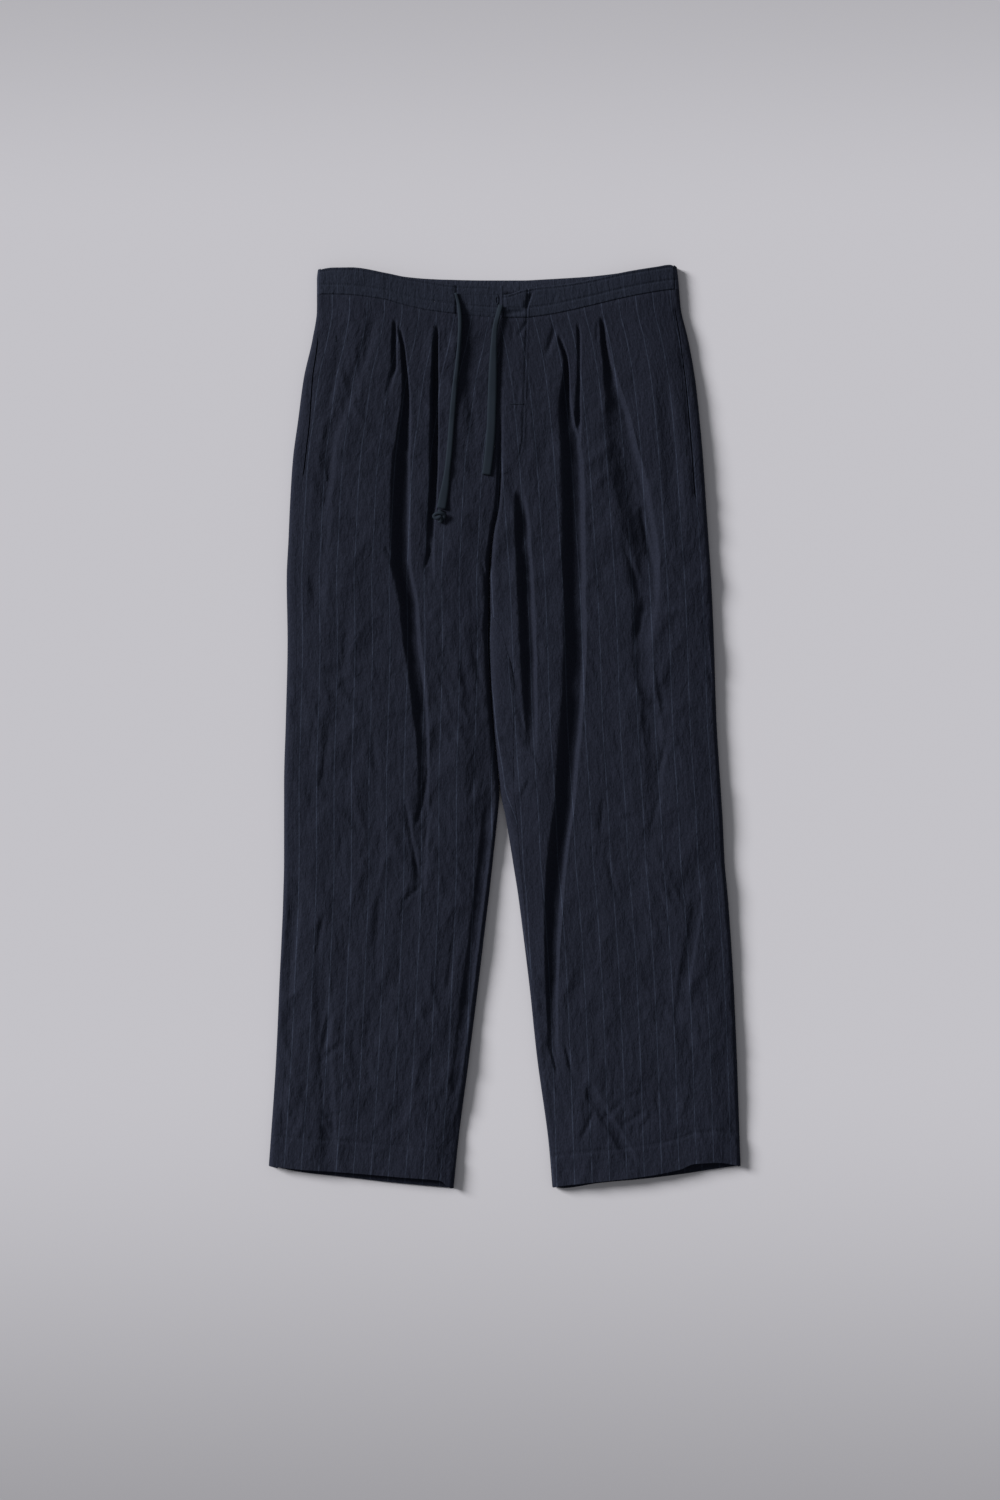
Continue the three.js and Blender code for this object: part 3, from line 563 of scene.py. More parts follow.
# Slow shifts that bend the layers, and patches: amount, size across and down, where in the noise
SHIFT_WIDE = (10, 60, 80, 5, 7)
SHIFT_NARROW = (3, 17, 23, 11, 47)
SHIFT_DOWN = (16, 40, 70, 31, 3)
PATCHES = (0.6, 60, 85, 71, 13)


def wander(x, drop, amount, wide, long, u, v):
    return amount * WARP(x / wide + u, drop / long + v)


def crinkle(x, drop):
    """Fine puckers of the washed cloth, longer down the leg than across it."""
    across = x + wander(x, drop, *SHIFT_WIDE) + wander(x, drop, *SHIFT_NARROW)
    down = drop + wander(x, drop, *SHIFT_DOWN)
    z = 0
    for noise, high, lean_across, lean_down, wide, long, u, v, folded in CRINKLES:
        layer = noise((across + lean_across * down) / wide + u, (down + lean_down * across) / long + v)
        z = z + high * (np.abs(layer) if folded else layer)
    share = CRINKLE_ABOVE + (1 - CRINKLE_ABOVE) * smooth_step(drop, CRINKLE_STARTS, CRINKLE_FULL)
    return (share + wander(x, drop, *PATCHES)) * (z + CRINKLE_LEVEL)


def fly_edge(drop):
    """Where the stitched edge of the fly's facing runs, straight down and then in a curve to the seam."""
    straight = FLY_TOP_X + (FLY_LOW_X - FLY_TOP_X) * (drop - FLY_STARTS) / (FLY_TURNS - FLY_STARTS)
    share = np.clip((drop - FLY_TURNS) / (FLY_ENDS - FLY_TURNS), 0, 1)
    curve = FLY_SEAM_X + (FLY_LOW_X - FLY_SEAM_X) * np.sqrt(1 - share ** 2)
    return np.where(drop < FLY_TURNS, straight, curve)


def groove(distance, width=GROOVE_WIDTH):
    return np.exp(-(distance / width) ** 2)


def sewn_relief(side, x, drop):
    """Steps and grooves where the fronts are sewn: the hem's turn-up, the waistband and the fly's facing."""
    hem = HEM.front(x) - HEM_DEPTH
    z = -HEM_GROOVE * groove(drop - hem)
    z = z - BAND_LOW_GROOVE * groove(drop - (WAIST.front_seam(x) - BAND_LOW_STITCH), BAND_GROOVE_WIDTH)
    z = z - BAND_TOP_GROOVE * groove(drop - (WAIST.front_top(x) + BAND_TOP_STITCH), BAND_GROOVE_WIDTH)
    z = z + HEM_STEP * smooth_step(drop - hem, *HEM_RISES)
    if side == "right":
        inside = fly_edge(drop) - x
        facing = smooth_step(inside, -FLY_SOFT, FLY_SOFT)
        facing = facing * (1 - smooth_step(drop, FLY_ENDS - FLY_END_SOFT, FLY_ENDS))
        z = z + FLY_STEP * facing - FLY_GROOVE * facing * groove(inside - FLY_STITCH)
    return z


def height(side, x, drop, fine=1.0):
    """Height of the front's outer face above the surface."""
    from_side = np.abs(x - outer_edge(side, drop))
    from_inside = np.abs(x - inner_edge(side, drop))
    z = BODY.height(drop)
    z = z - EDGE_DIP * (1 - smooth_step(from_side, 0, EDGE_REACH))
    z = z - EDGE_DIP * leg_share(drop) * (1 - smooth_step(from_inside, 0, EDGE_REACH))
    for fold in FOLDS[side]:
        z = z - fold_depth(fold, x, drop)
    z = z - CREVICE.depth(drop) * groove(x - OUTLINE.parting(drop) + CREVICE_WIDTH / 4, CREVICE_WIDTH)
    if fine > 0:
        for crease in CREASES:
            z = z - fine * CREASE_GAIN * crease_depth(crease, x, drop)
        grown = smooth_step(drop - WAIST.front_seam(x), *BAND_FADE)
        below_seam = PUCKERS_AT_BAND + (1 - PUCKERS_AT_BAND) * grown
        shrunk = smooth_step(drop, LENGTH - HEM_FADE[0], LENGTH - HEM_FADE[1])
        stiff_hem = 1 - (1 - PUCKERS_AT_HEM) * shrunk
        z = z + fine * (below_seam * stiff_hem * crinkle(x, drop) + sewn_relief(side, x, drop))
    return z + LEAST_SOFT * np.log1p(np.exp((LEAST_HEIGHT - z) / LEAST_SOFT))


def section(side, drop):
    """Lengths round one side's cross-section. The inner roll is cut short above the crotch."""
    width = np.abs(inner_edge(side, drop) - outer_edge(side, drop))
    share = leg_share(drop)
    cut = QUARTER * (1 - share)
    flat = width - ROLL_OUTER - ROLL_INNER * np.cos(cut)
    under_flat = width - ROLL_UNDER * (1 + np.cos(cut))
    top = OUTER_ROLL + flat + share * INNER_ROLL
    under = UNDER_ROLL + under_flat + share * UNDER_ROLL
    return cut, share, top, under


def rolled(side, along, drop, outer, inner, total):
    """Place and lift along one face, whose ends roll into the edges. A roll is a radius and a length."""
    cut, share, _, _ = section(side, drop)
    turn = inward(side)
    x = outer_edge(side, drop) + turn * (outer[0] + along - outer[1])
    angle = QUARTER * along / outer[1]
    turned = along < outer[1]
    x = np.where(turned, outer_edge(side, drop) + turn * outer[0] * (1 - np.cos(angle)), x)
    lift = np.where(turned, np.sin(angle), 1.0)
    angle = cut + QUARTER * (total - along) / inner[1]
    turned = along > total - share * inner[1]
    x = np.where(turned, inner_edge(side, drop) - turn * inner[0] * (np.cos(cut) - np.cos(angle)), x)
    return x, np.where(turned, np.sin(angle), lift)


def above(side, along, drop, fine=1.0):
    top = section(side, drop)[2]
    x, lift = rolled(side, along, drop, (ROLL_OUTER, OUTER_ROLL), (ROLL_INNER, INNER_ROLL), top)
    return x, EDGE_LINE + (height(side, x, drop, fine) - EDGE_LINE) * lift


def below(side, along, drop, fine=1.0):
    roll = (ROLL_UNDER, UNDER_ROLL)
    x, lift = rolled(side, along, drop, roll, roll, section(side, drop)[3])
    z = EDGE_LINE * (1 - lift)
    if fine > 0:
        inset = np.minimum(np.abs(x - outer_edge(side, drop)), np.abs(x - inner_edge(side, drop)))
        raised = PUCKERS_BELOW * np.maximum(0, crinkle(x + 400, drop + 60) + 0.1)
        for crease in BACK_CREASES:
            raised = raised + crease_depth(crease, x, drop)
        z = z + fine * smooth_step(inset, *BACK_LIFTS) * raised
    return x, z


def around(side, along, drop, fine=1.0):
    """One loop round a side: negative on the front, then under the back and up the inside edge."""
    _, share, top, under = section(side, drop)
    closed = share >= 1
    front_x, front_z = above(side, np.where(along < 0, -along, top - (along - under)), drop, fine)
    back_x, back_z = below(side, np.maximum(along, 0), drop, fine)
    on_front = (along < 0) | ((along > under) & closed)
    return np.where(on_front, front_x, back_x), np.where(on_front, front_z, back_z)


def seam_along(inset, roll, roll_length):
    angle = np.arccos(np.clip(1 - inset / roll, 0, 1))
    return np.where(inset >= roll, roll_length + inset - roll, roll_length * angle / QUARTER)


def side_seam(side, drop):
    return seam_along(SEAM[side].side(drop), ROLL_OUTER, OUTER_ROLL)


def inside_gap(drop):
    return SEAM_GAP / 2 * leg_share(drop)


def inside_seam(side, drop):
    started = smooth_step(drop, CROTCH_ENDS, INSIDE_SEAM_TURNS)
    return started * seam_along(SEAM[side].inside(drop), ROLL_INNER, INNER_ROLL)


def pocket_mouth(side, drop):
    starts, ends = POCKET[side]
    opens = smooth_step(drop, starts - POCKET_SOFT, starts + POCKET_SOFT)
    return opens * (1 - smooth_step(drop, ends - POCKET_SOFT, ends + POCKET_SOFT))


def panel_drop(row, seam, hem):
    at_top = 1 - smooth_step(row, 0, TOP_BENDS)
    at_hem = smooth_step(row, HEM_BENDS, 1)
    level = LEVEL_TOP + (LEVEL_HEM - LEVEL_TOP) * row
    return level + (seam + SEAM_GAP / 2 - LEVEL_TOP) * at_top + (hem - LEVEL_HEM) * at_hem


def band_drop(row, top, seam):
    return top + (seam - SEAM_GAP / 2 - top) * row


def along_to(side, x, drop):
    return OUTER_ROLL + np.abs(x - outer_edge(side, drop)) - ROLL_OUTER


# Grids of points and the walls between them
def column_shares(side, columns, rows, span, drop_at):
    """Shares across a piece, closer together where the cloth bends."""
    coarse = np.linspace(0, 1, 60)
    samples = np.linspace(0, 1, 600)
    shares = []
    for row in coarse:
        drop = drop_at(MIDDLE[side], row)
        start, end = span(drop)
        along = start + (end - start) * samples
        x, z = around(side, along, np.full_like(along, drop), 0.0)
        dx = np.diff(x)
        dz = np.diff(z)
        angle = np.arctan2(dz, dx)
        bend = np.abs(np.diff(np.unwrap(angle), prepend=angle[0]))
        spread = np.hypot(dx, dz)
        if side == "right" and drop < FLY_ENDS + FLY_DENSE_REACH:
            spread = spread * (1 + FLY_DENSE * groove(x[1:] - fly_edge(drop), FLY_DENSE_REACH))
        turned = np.concatenate([[0], np.cumsum(spread + BEND_WEIGHT * bend)])
        shares.append(np.interp(np.linspace(0, turned[-1], columns + 1), turned, samples))
    shares = smoothed(np.array(shares), 4, (0,))
    fine = [np.interp(rows, coarse, shares[:, j]) for j in range(columns + 1)]
    return held(np.array(fine)).T


def held(places):
    """Adds a place close beside the first and the last, which keeps the shading even up to the cut edges."""
    first = places[:1] + EDGE_HOLD * (places[1:2] - places[:1])
    last = places[-1:] + EDGE_HOLD * (places[-2:-1] - places[-1:])
    return np.concatenate([places[:1], first, places[1:-1], last, places[-1:]])


def row_places(count):
    """Rows down a piece, closer together near its top and its hem."""
    at = np.linspace(0, 1, 400)
    density = 1 + TOP_DENSE[0] * groove(at, TOP_DENSE[1]) + HEM_DENSE[0] * groove(1 - at, HEM_DENSE[1])
    total = np.concatenate([[0], np.cumsum((density[1:] + density[:-1]) / 2)])
    return held(np.interp(np.linspace(0, total[-1], count + 1), total, at))


def side_points(side, grid, span, drop_at):
    """Points of a piece of one side, with their places round the cloth and down it."""
    rows = row_places(grid[0])
    shares = column_shares(side, grid[1], rows, span, drop_at)
    row = np.repeat(rows[:, None], shares.shape[1], axis=1)
    nominal = drop_at(MIDDLE[side], row)
    start, end = span(nominal)
    x, _ = around(side, start + (end - start) * shares, nominal, 0.0)
    drop = drop_at(x, row)
    start, end = span(drop)
    along = start + (end - start) * shares
    x, z = around(side, along, drop)
    return points_at(x, drop, z), along, drop


def smoothed(values, passes, axes=(0, 1)):
    for _ in range(passes):
        for axis in axes:
            line = np.moveaxis(values, axis, 0)
            wide = np.concatenate([line[:1], line, line[-1:]])
            values = np.moveaxis((wide[:-2] + 2 * line + wide[2:]) / 4, 0, axis)
    return values


def unit(vectors):
    return vectors / np.maximum(np.linalg.norm(vectors, axis=-1, keepdims=True), 1e-9)


def face_normals(points, flip):
    return unit(np.cross(np.gradient(points, axis=1), np.gradient(points, axis=0)) * flip)


def wall_faces(rows, columns):
    """Faces of both sides of a wall and of its four rims, between two grids of points."""
    index = np.arange(rows * columns).reshape(rows, columns)
    a, b = index[:-1, :-1].ravel(), index[1:, :-1].ravel()
    c, d = index[1:, 1:].ravel(), index[:-1, 1:].ravel()
    shift = rows * columns
    faces = [np.stack([a, b, c, d], 1), np.stack([a, d, c, b], 1) + shift]
    for line in (index[:, 0], index[::-1, -1], index[0, ::-1], index[-1, :]):
        faces.append(np.stack([line[1:], line[:-1], line[:-1] + shift, line[1:] + shift], 1))
    return np.concatenate(faces)


def add_object(name, data):
    made = bpy.data.objects.new(name, data)
    bpy.context.scene.collection.objects.link(made)
    return made


def shade_smooth(mesh):
    mesh.polygons.foreach_set("use_smooth", np.ones(len(mesh.polygons), dtype=bool))


def add_wall(name, outer, inner, uv, material):
    """A closed shell between two grids of points, with its cloth coordinates as UV."""
    rows, columns = outer.shape[:2]
    points = np.concatenate([outer.reshape(-1, 3), inner.reshape(-1, 3)]) * MM
    faces = wall_faces(rows, columns)
    corners = points[faces]
    volume = np.einsum("ij,ij->i", corners[:, 0], np.cross(corners[:, 1], corners[:, 2])).sum()
    volume += np.einsum("ij,ij->i", corners[:, 0], np.cross(corners[:, 2], corners[:, 3])).sum()
    if volume < 0:
        faces = faces[:, ::-1]
    mesh = bpy.data.meshes.new(name)
    mesh.from_pydata(points.tolist(), [], faces.tolist())
    layer = mesh.uv_layers.new(name="cloth")
    flat = np.concatenate([uv.reshape(-1, 2), uv.reshape(-1, 2)]) * MM
    layer.data.foreach_set("uv", flat[faces.ravel()].ravel())
    shade_smooth(mesh)
    mesh.materials.append(material)
    mesh.update()
    return add_object(name, mesh)


def side_piece(name, side, grid, span, drop_at, wall, material, finish=None):
    points, along, drop = side_points(side, grid, span, drop_at)
    normal = face_normals(points, inward(side))
    starts, ends = [LENGTH - HEM_DEPTH - far for far in HEM_THICKENS]
    hem = HEM_EXTRA * smooth_step(drop, starts, ends)
    inner = points - smoothed(normal, 3) * (wall + hem)[..., None]
    if finish is not None:
        points = points + normal * finish(drop)[..., None]
    uv = np.stack([-along, drop], axis=-1)
    return add_wall(name, points, inner, uv, material)


def edge_tuck(shape, rows, columns, depth):
    """How far a piece's seamed edges sink, over rows at its top and bottom and columns at both sides."""
    tuck = np.zeros(shape)
    for grid, cells in ((tuck, rows[0]), (tuck[::-1], rows[1]), (tuck.T, columns), (tuck.T[::-1], columns)):
        for k in range(cells + 1 if cells else 0):
            grid[k] -= depth * (1 - max(0, k - 1) / cells) ** 2
    return tuck


# Materials
def linear(colour):
    """An sRGB hex colour as linear red, green, blue and alpha."""
    values = [int(colour[i:i + 2], 16) / 255 for i in (1, 3, 5)]
    values = [v / 12.92 if v <= 0.04045 else ((v + 0.055) / 1.055) ** 2.4 for v in values]
    return (*values, 1.0)


def add_node(tree, kind, settings=None, inputs=None):
    """Adds a node with its settings; an input's value is a number, a colour or a socket to link."""
    node = tree.nodes.new(kind)
    for key, value in (settings or {}).items():
        setattr(node, key, value)
    for key, value in (inputs or {}).items():
        if isinstance(value, bpy.types.NodeSocket):
            tree.links.new(value, node.inputs[key])
        else:
            node.inputs[key].default_value = value
    return node


def new_material(name):
    material = bpy.data.materials.new(name)
    material.use_nodes = True
    material.node_tree.nodes.clear()
    return material, material.node_tree


def calculate(tree, operation, *values):
    """The result of one step of arithmetic on numbers or sockets."""
    return add_node(tree, "ShaderNodeMath", {"operation": operation}, dict(enumerate(values))).outputs[0]


def remap(tree, value, start, end, low, high, interpolation="LINEAR"):
    """Turns the range from start to end into the range from low to high."""
    return add_node(tree, "ShaderNodeMapRange", {"interpolation_type": interpolation}, {
        "Value": value,
        "From Min": start,
        "From Max": end,
        "To Min": low,
        "To Max": high,
    }).outputs["Result"]


def noise_over(tree, place, across, down, detail, roughness=0.5, distortion=0.0):
    """Noise over the cloth, with its own number of waves in a metre across and down."""
    stretched = add_node(tree, "ShaderNodeMapping", inputs={"Vector": place, "Scale": (across, down, 1.0)})
    return add_node(tree, "ShaderNodeTexNoise", {"noise_dimensions": "3D"}, {
        "Vector": stretched.outputs["Vector"],
        "Scale": 1.0,
        "Detail": detail,
        "Roughness": roughness,
        "Distortion": distortion,
    }).outputs["Fac"]


def scaled(tree, colour, share):
    return add_node(tree, "ShaderNodeVectorMath", {"operation": "SCALE"}, {
        0: linear(colour)[:3],
        "Scale": share,
    }).outputs["Vector"]


def bump(tree, height, strength, distance, below=None):
    """Raises the surface by a pattern, over the bumps below it."""
    inputs = {"Strength": strength, "Distance": distance, "Height": height}
    if below is not None:
        inputs["Normal"] = below
    return add_node(tree, "ShaderNodeBump", inputs=inputs).outputs["Normal"]


def add_surface(tree, colour, roughness, specular, more=None):
    shader = add_node(tree, "ShaderNodeBsdfPrincipled", inputs={
        "Base Color": colour,
        "Roughness": roughness,
        "Specular IOR Level": specular,
        **(more or {}),
    })
    add_node(tree, "ShaderNodeOutputMaterial", inputs={"Surface": shader.outputs["BSDF"]})


def wool_suiting(name, colour, stripe_colour, stripe_mm, stripe_phase_mm):
    """Washed wool suiting: a dull yarn-dyed weave with fine puckers and a hairline pinstripe."""
    material, tree = new_material(name)
    uv = add_node(tree, "ShaderNodeUVMap", {"uv_map": "cloth"}).outputs["UV"]
    across = add_node(tree, "ShaderNodeSeparateXYZ", inputs={"Vector": uv}).outputs["X"]
    start = 0.5 - stripe_phase_mm / stripe_mm
    place = calculate(tree, "FRACT", calculate(tree, "MULTIPLY_ADD", across, 1 / (stripe_mm * MM), start))
    away = calculate(tree, "ABSOLUTE", calculate(tree, "SUBTRACT", place, 0.5))
    line = remap(tree, away, STRIPE_ENDS / stripe_mm, STRIPE_FULL / stripe_mm, 0.0, 1.0, "SMOOTHSTEP")
    # The stripe's yarns dip under the weave, which breaks the line every few millimetres
    dash = remap(tree, noise_over(tree, uv, 300.0, 260.0, 1.0), 0.35, 0.62, 0.5, 1.0)
    # Uneven dye and yarn, over a few millimetres
    tone = remap(tree, noise_over(tree, uv, 900.0, 320.0, 3.0, roughness=0.6), 0.3, 0.7, 0.72, 1.28)
    mixed = add_node(tree, "ShaderNodeMix", {"data_type": "RGBA"}, {
        "Factor": calculate(tree, "MULTIPLY", line, dash),
        6: scaled(tree, colour, tone),
        7: linear(stripe_colour),
    })
    # Threads 0.5 mm apart are too fine to show, so the weave is drawn 1.4 mm apart
    weave = bump(tree, noise_over(tree, uv, 700.0, 420.0, 2.0), 0.55, 0.00045)
    pucker = bump(tree, noise_over(tree, uv, 230.0, 90.0, 2.0, distortion=0.4), 0.8, 0.0014, weave)
    add_surface(tree, mixed.outputs[2], 0.92, 0.12, {
        "IOR": 1.45,
        "Sheen Weight": 0.02,
        "Sheen Roughness": 0.55,
        "Sheen Tint": linear("#5b6b86"),
        "Normal": pucker,
    })
    return material


def cloth_material(name, colour, stripe_colour, phase=0.0):
    """The named cloth, made when it's first asked for, from the names of its colours."""
    if name in bpy.data.materials:
        return bpy.data.materials[name]
    scene = bpy.context.scene
    colours = scene.trousers_colours
    return wool_suiting(name, getattr(colours, colour), getattr(colours, stripe_colour),
                        scene.trousers_sizes.stripe, phase)


def thread_material():
    material, tree = new_material("thread")
    add_surface(tree, linear(bpy.context.scene.trousers_colours.thread), 0.85, 0.1)
    return material


def studio_paper_with_painted_shade(colour):
    """Seamless matt paper with painted shade: its colour darkens away from the middle, standing in for where
    the light falls off.
    """
    material, tree = new_material("studio_paper_with_painted_shade")
    place = add_node(tree, "ShaderNodeTexCoord").outputs["Object"]
    along = add_node(tree, "ShaderNodeSeparateXYZ", inputs={"Vector": place}).outputs["Y"]
    painted_shades = []
    # Painted shade: each step darkens the paper's colour towards one end
    for start, end, left in (PAPER_PAINTED_SHADE_LOW, PAPER_PAINTED_SHADE_HIGH):
        painted_shades.append(remap(tree, along, start, end, 1.0, left, "SMOOTHSTEP"))
    add_surface(tree, scaled(tree, colour, calculate(tree, "MULTIPLY", *painted_shades)), 0.95, 0.1)
    return material


# Sizes and colours that a user would change
def millimetres(name, description, default, **limits):
    return bpy.props.FloatProperty(
        name=name, description=description + ", in millimetres", default=default, **limits)


def colour_of(name, what, default):
    return bpy.props.StringProperty(name=name, description="sRGB hex colour of " + what, default=default)


class TrousersSizes(bpy.types.PropertyGroup):
    cloth: millimetres("Cloth", "Thickness of the wool", 0.9, min=0.4, max=1.2)
    stripe: millimetres("Stripe spacing", "Distance between pinstripes", 19.6)
    stitch: millimetres("Stitch", "Length of one stitch", 2.6)


class TrousersColours(bpy.types.PropertyGroup):
    wool: colour_of("Wool", "the cloth", "#20232f")
    stripe: colour_of("Pinstripe", "the stripe's yarn", "#333948")
    band: colour_of("Waistband", "the waistband", "#222632")
    band_stripe: colour_of("Waistband's pinstripe", "its fainter stripe", "#2b303e")
    # Lighter than the wool: partly a plain facing cloth, partly painted light standing in for the light the
    # back band's inner strip catches
    inside: colour_of("Inside", "the back strip's plain cloth", "#292d3a")
    tape: colour_of("Tape", "the drawstring", "#222932")
    thread: colour_of("Thread", "the sewing thread", "#272c38")
    paper: colour_of("Paper", "the surface", "#dcdadf")


# Camera, paper and light, in metres, and the camera's sensor in millimetres
CAMERA_HEIGHT = 3.4
SENSOR = 36.0
FRAME_HEIGHT = 1.6875
FRAME_CENTRE = (-0.0053, -0.0264)
# Painted shade on the paper: where its darkening starts and ends along Y, in metres, and how much of its
# colour is left there
PAPER_PAINTED_SHADE_LOW = (-0.37, -1.05, 0.56)
PAPER_PAINTED_SHADE_HIGH = (0.56, 0.93, 0.775)
KEY_FROM = (-0.75, 0.34, 0.37)
KEY_STRENGTH = 4.44
KEY_SPREAD = 20.0
WORLD_STRENGTH = 0.2
WORLD_COLOUR = (0.95, 0.97, 1.0, 1.0)
PAPER_HALF = 6.0
PAPER_LEVEL = -0.0004


class TROUSERS_OT_stage(bpy.types.Operator):
    """Sets the camera straight above, the soft studio light and the pale surface"""
    bl_idname = "trousers.stage"
    bl_label = "Stage"

    def execute(self, context):
        data = bpy.data.cameras.new("camera")
        data.sensor_fit = "VERTICAL"
        data.sensor_height = SENSOR
        data.lens = SENSOR * CAMERA_HEIGHT / FRAME_HEIGHT
        data.clip_end = 50
        camera = add_object("camera", data)
        camera.location = (*FRAME_CENTRE, CAMERA_HEIGHT)
        context.scene.camera = camera
        far = PAPER_HALF
        corners = [(x, y, PAPER_LEVEL) for x, y in ((-far, -far), (far, -far), (far, far), (-far, far))]
        mesh = bpy.data.meshes.new("studio_surface")
        mesh.from_pydata(corners, [], [(0, 1, 2, 3)])
        mesh.materials.append(studio_paper_with_painted_shade(context.scene.trousers_colours.paper))
        floor = add_object("studio_surface", mesh)
        sun = bpy.data.lights.new("key", "SUN")
        sun.energy = KEY_STRENGTH
        sun.angle = math.radians(KEY_SPREAD)
        key = add_object("key", sun)
        key.rotation_euler = (-Vector(KEY_FROM)).to_track_quat("-Z", "Y").to_euler()
        context.scene.view_settings.view_transform = "Standard"
        world = bpy.data.worlds.new("studio")
        world.use_nodes = True
        background = world.node_tree.nodes["Background"]
        background.inputs["Color"].default_value = WORLD_COLOUR
        background.inputs["Strength"].default_value = WORLD_STRENGTH
        context.scene.world = world
        return {"FINISHED"}


class TROUSERS_OT_fronts(bpy.types.Operator):
    """Makes the two pleated fronts"""
    bl_idname = "trousers.fronts"
    bl_label = "Fronts"

    def execute(self, context):
        sizes = context.scene.trousers_sizes
        for side in SIDES:
            def span(drop, side=side):
                start = inside_seam(side, drop) + inside_gap(drop) - section(side, drop)[2]
                return start, -side_seam(side, drop) - SEAM_GAP / 2 - POCKET_OPEN * pocket_mouth(side, drop)

            def drop_at(x, row):
                return panel_drop(row, WAIST.front_seam(x), HEM.front(x))

            def finish(drop, side=side):
                seamed = edge_tuck(drop.shape, (2, 0), 0, SEAM_TUCK)
                turned = edge_tuck(drop.shape, (0, 0), 2, POCKET_TURN[side])
                return seamed + turned * (SEAM_TURN + (1 - SEAM_TURN) * pocket_mouth(side, drop))

            piece = side_piece(f"cloth_front_{side}", side, FRONT_GRID, span, drop_at, sizes.cloth,
                               wool_material(side), finish)
            dress(piece, f"front_{side}")
        return {"FINISHED"}


class TROUSERS_OT_backs(bpy.types.Operator):
    """Makes the two backs, which turn round the edges to the side seams"""
    bl_idname = "trousers.backs"
    bl_label = "Backs"

    def execute(self, context):
        sizes = context.scene.trousers_sizes
        for side in SIDES:
            def span(drop, side=side):
                end = section(side, drop)[3] + inside_seam(side, drop) - inside_gap(drop)
                return -side_seam(side, drop) + SEAM_GAP / 2, end

            def drop_at(x, row):
                return panel_drop(row, WAIST.back_seam(x), HEM.back(x))

            piece = side_piece(f"cloth_back_{side}", side, BACK_GRID, span, drop_at, sizes.cloth,
                               wool_material(side))
            dress(piece, f"back_{side}")
        return {"FINISHED"}


def wool_material(side):
    return cloth_material(f"washed_wool_{side}", "wool", "stripe", STRIPE_PHASE[side])


def cloth_top(x, drop):
    """Height of the fronts' outer face at any place."""
    x = np.asarray(x, float)
    drop = np.asarray(drop, float)
    return np.where(x < OUTLINE.parting(drop), height("left", x, drop), height("right", x, drop))


class TROUSERS_OT_waistband(bpy.types.Operator):
    """Makes the waistband: the back strip, the two fronts and the tab below the opening"""
    bl_idname = "trousers.waistband"
    bl_label = "Waistband"

    def execute(self, context):
        wool = cloth_material("washed_wool_band", "band", "band_stripe", BAND_STRIPE_PHASE)

        def front_drop(x, row):
            return band_drop(row, WAIST.front_top(x), WAIST.front_seam(x))

        def back_drop(x, row):
            return band_drop(row, WAIST.back_top(x), WAIST.back_seam(x))

        def finish(drop):
            return edge_tuck(drop.shape, (2, 2), 2, BAND_TUCK)

        ends = {"left": TAB_FROM - SEAM_GAP, "right": TAB_TO + SEAM_GAP}
        for side, end in ends.items():
            def span(drop, side=side, end=end):
                return -along_to(side, end, drop), -side_seam(side, drop) - SEAM_GAP / 2

            band = side_piece(f"band_front_{side}", side, BAND_GRID, span, front_drop, BAND_WALL,
                              wool, finish)
            dress(band, "waistband_front_" + side)

        halves = []
        for side in SIDES:
            def span(drop, side=side):
                return -side_seam(side, drop) + SEAM_GAP / 2, section(side, drop)[3]

            halves.append(side_points(side, BAND_GRID, span, back_drop))
        joined = [np.concatenate([a, b[:, -2::-1]], axis=1) for a, b in zip(*halves)]
        points, _, drop = joined
        normal = face_normals(points, 1)
        inner = points - smoothed(normal, 3) * BAND_WALL
        inner = inner - normal * edge_tuck(drop.shape, (2, 2), 2, BAND_BACK_TUCK)[..., None]
        # Plain cloth of the back band, painted lighter than the wool to stand in for the light its inner
        # strip catches
        plain = cloth_material("back_band_wool_painted_light", "inside", "inside")
        band = add_wall("band_back", points, inner, np.stack([points[..., 0], drop], -1), plain)
        dress(band, "waistband_back")

        across = held(np.linspace(TAB_FROM, TAB_TO, TAB_GRID[1] + 1))
        down = held(np.linspace(0, 1, TAB_GRID[0] + 1))
        x = np.repeat(across[None, :], len(down), axis=0)
        seam = WAIST.front_seam(x) - SEAM_GAP / 2
        drop = TAB_TOP + (seam - TAB_TOP) * down[:, None]
        points = points_at(x, drop, cloth_top(x, drop) - TAB_LOWER)
        inner = points - np.array([0, 0, BAND_WALL])
        points[..., 2] += edge_tuck(x.shape, (2, 2), 2, TAB_TUCK)
        tab = add_wall("band_tab", points, inner, np.stack([x, drop], -1), wool)
        dress(tab, "waistband_tab")
        return {"FINISHED"}


# Drawstring
def curve_through(points, step):
    """Evenly spaced places along a smooth line through the points."""
    points = np.array(points, float)
    at = np.concatenate([[0], np.cumsum(np.linalg.norm(np.diff(points, axis=0), axis=1))])
    fine = np.linspace(0, at[-1], 40 * len(points))
    slope = np.gradient(points, at, axis=0)
    i = np.clip(np.searchsorted(at, fine, side="right") - 1, 0, len(at) - 2)
    span = (at[i + 1] - at[i])[:, None]
    t = (fine - at[i])[:, None] / span
    line = ((2 * t ** 3 - 3 * t ** 2 + 1) * points[i] + (t ** 3 - 2 * t ** 2 + t) * span * slope[i]
            + (3 * t ** 2 - 2 * t ** 3) * points[i + 1] + (t ** 3 - t ** 2) * span * slope[i + 1])
    run = np.concatenate([[0], np.cumsum(np.linalg.norm(np.diff(line, axis=0), axis=1))])
    places = np.linspace(0, run[-1], max(2, int(round(run[-1] / step))) + 1)
    return np.stack([np.interp(places, run, line[:, k]) for k in range(line.shape[1])], axis=1), places


def running_max(values, reach):
    """The largest value within some places up and down each column."""
    wide = np.concatenate([values[:1]] * reach + [values] + [values[-1:]] * reach)
    return np.max([wide[k:k + len(values)] for k in range(2 * reach + 1)], axis=0)


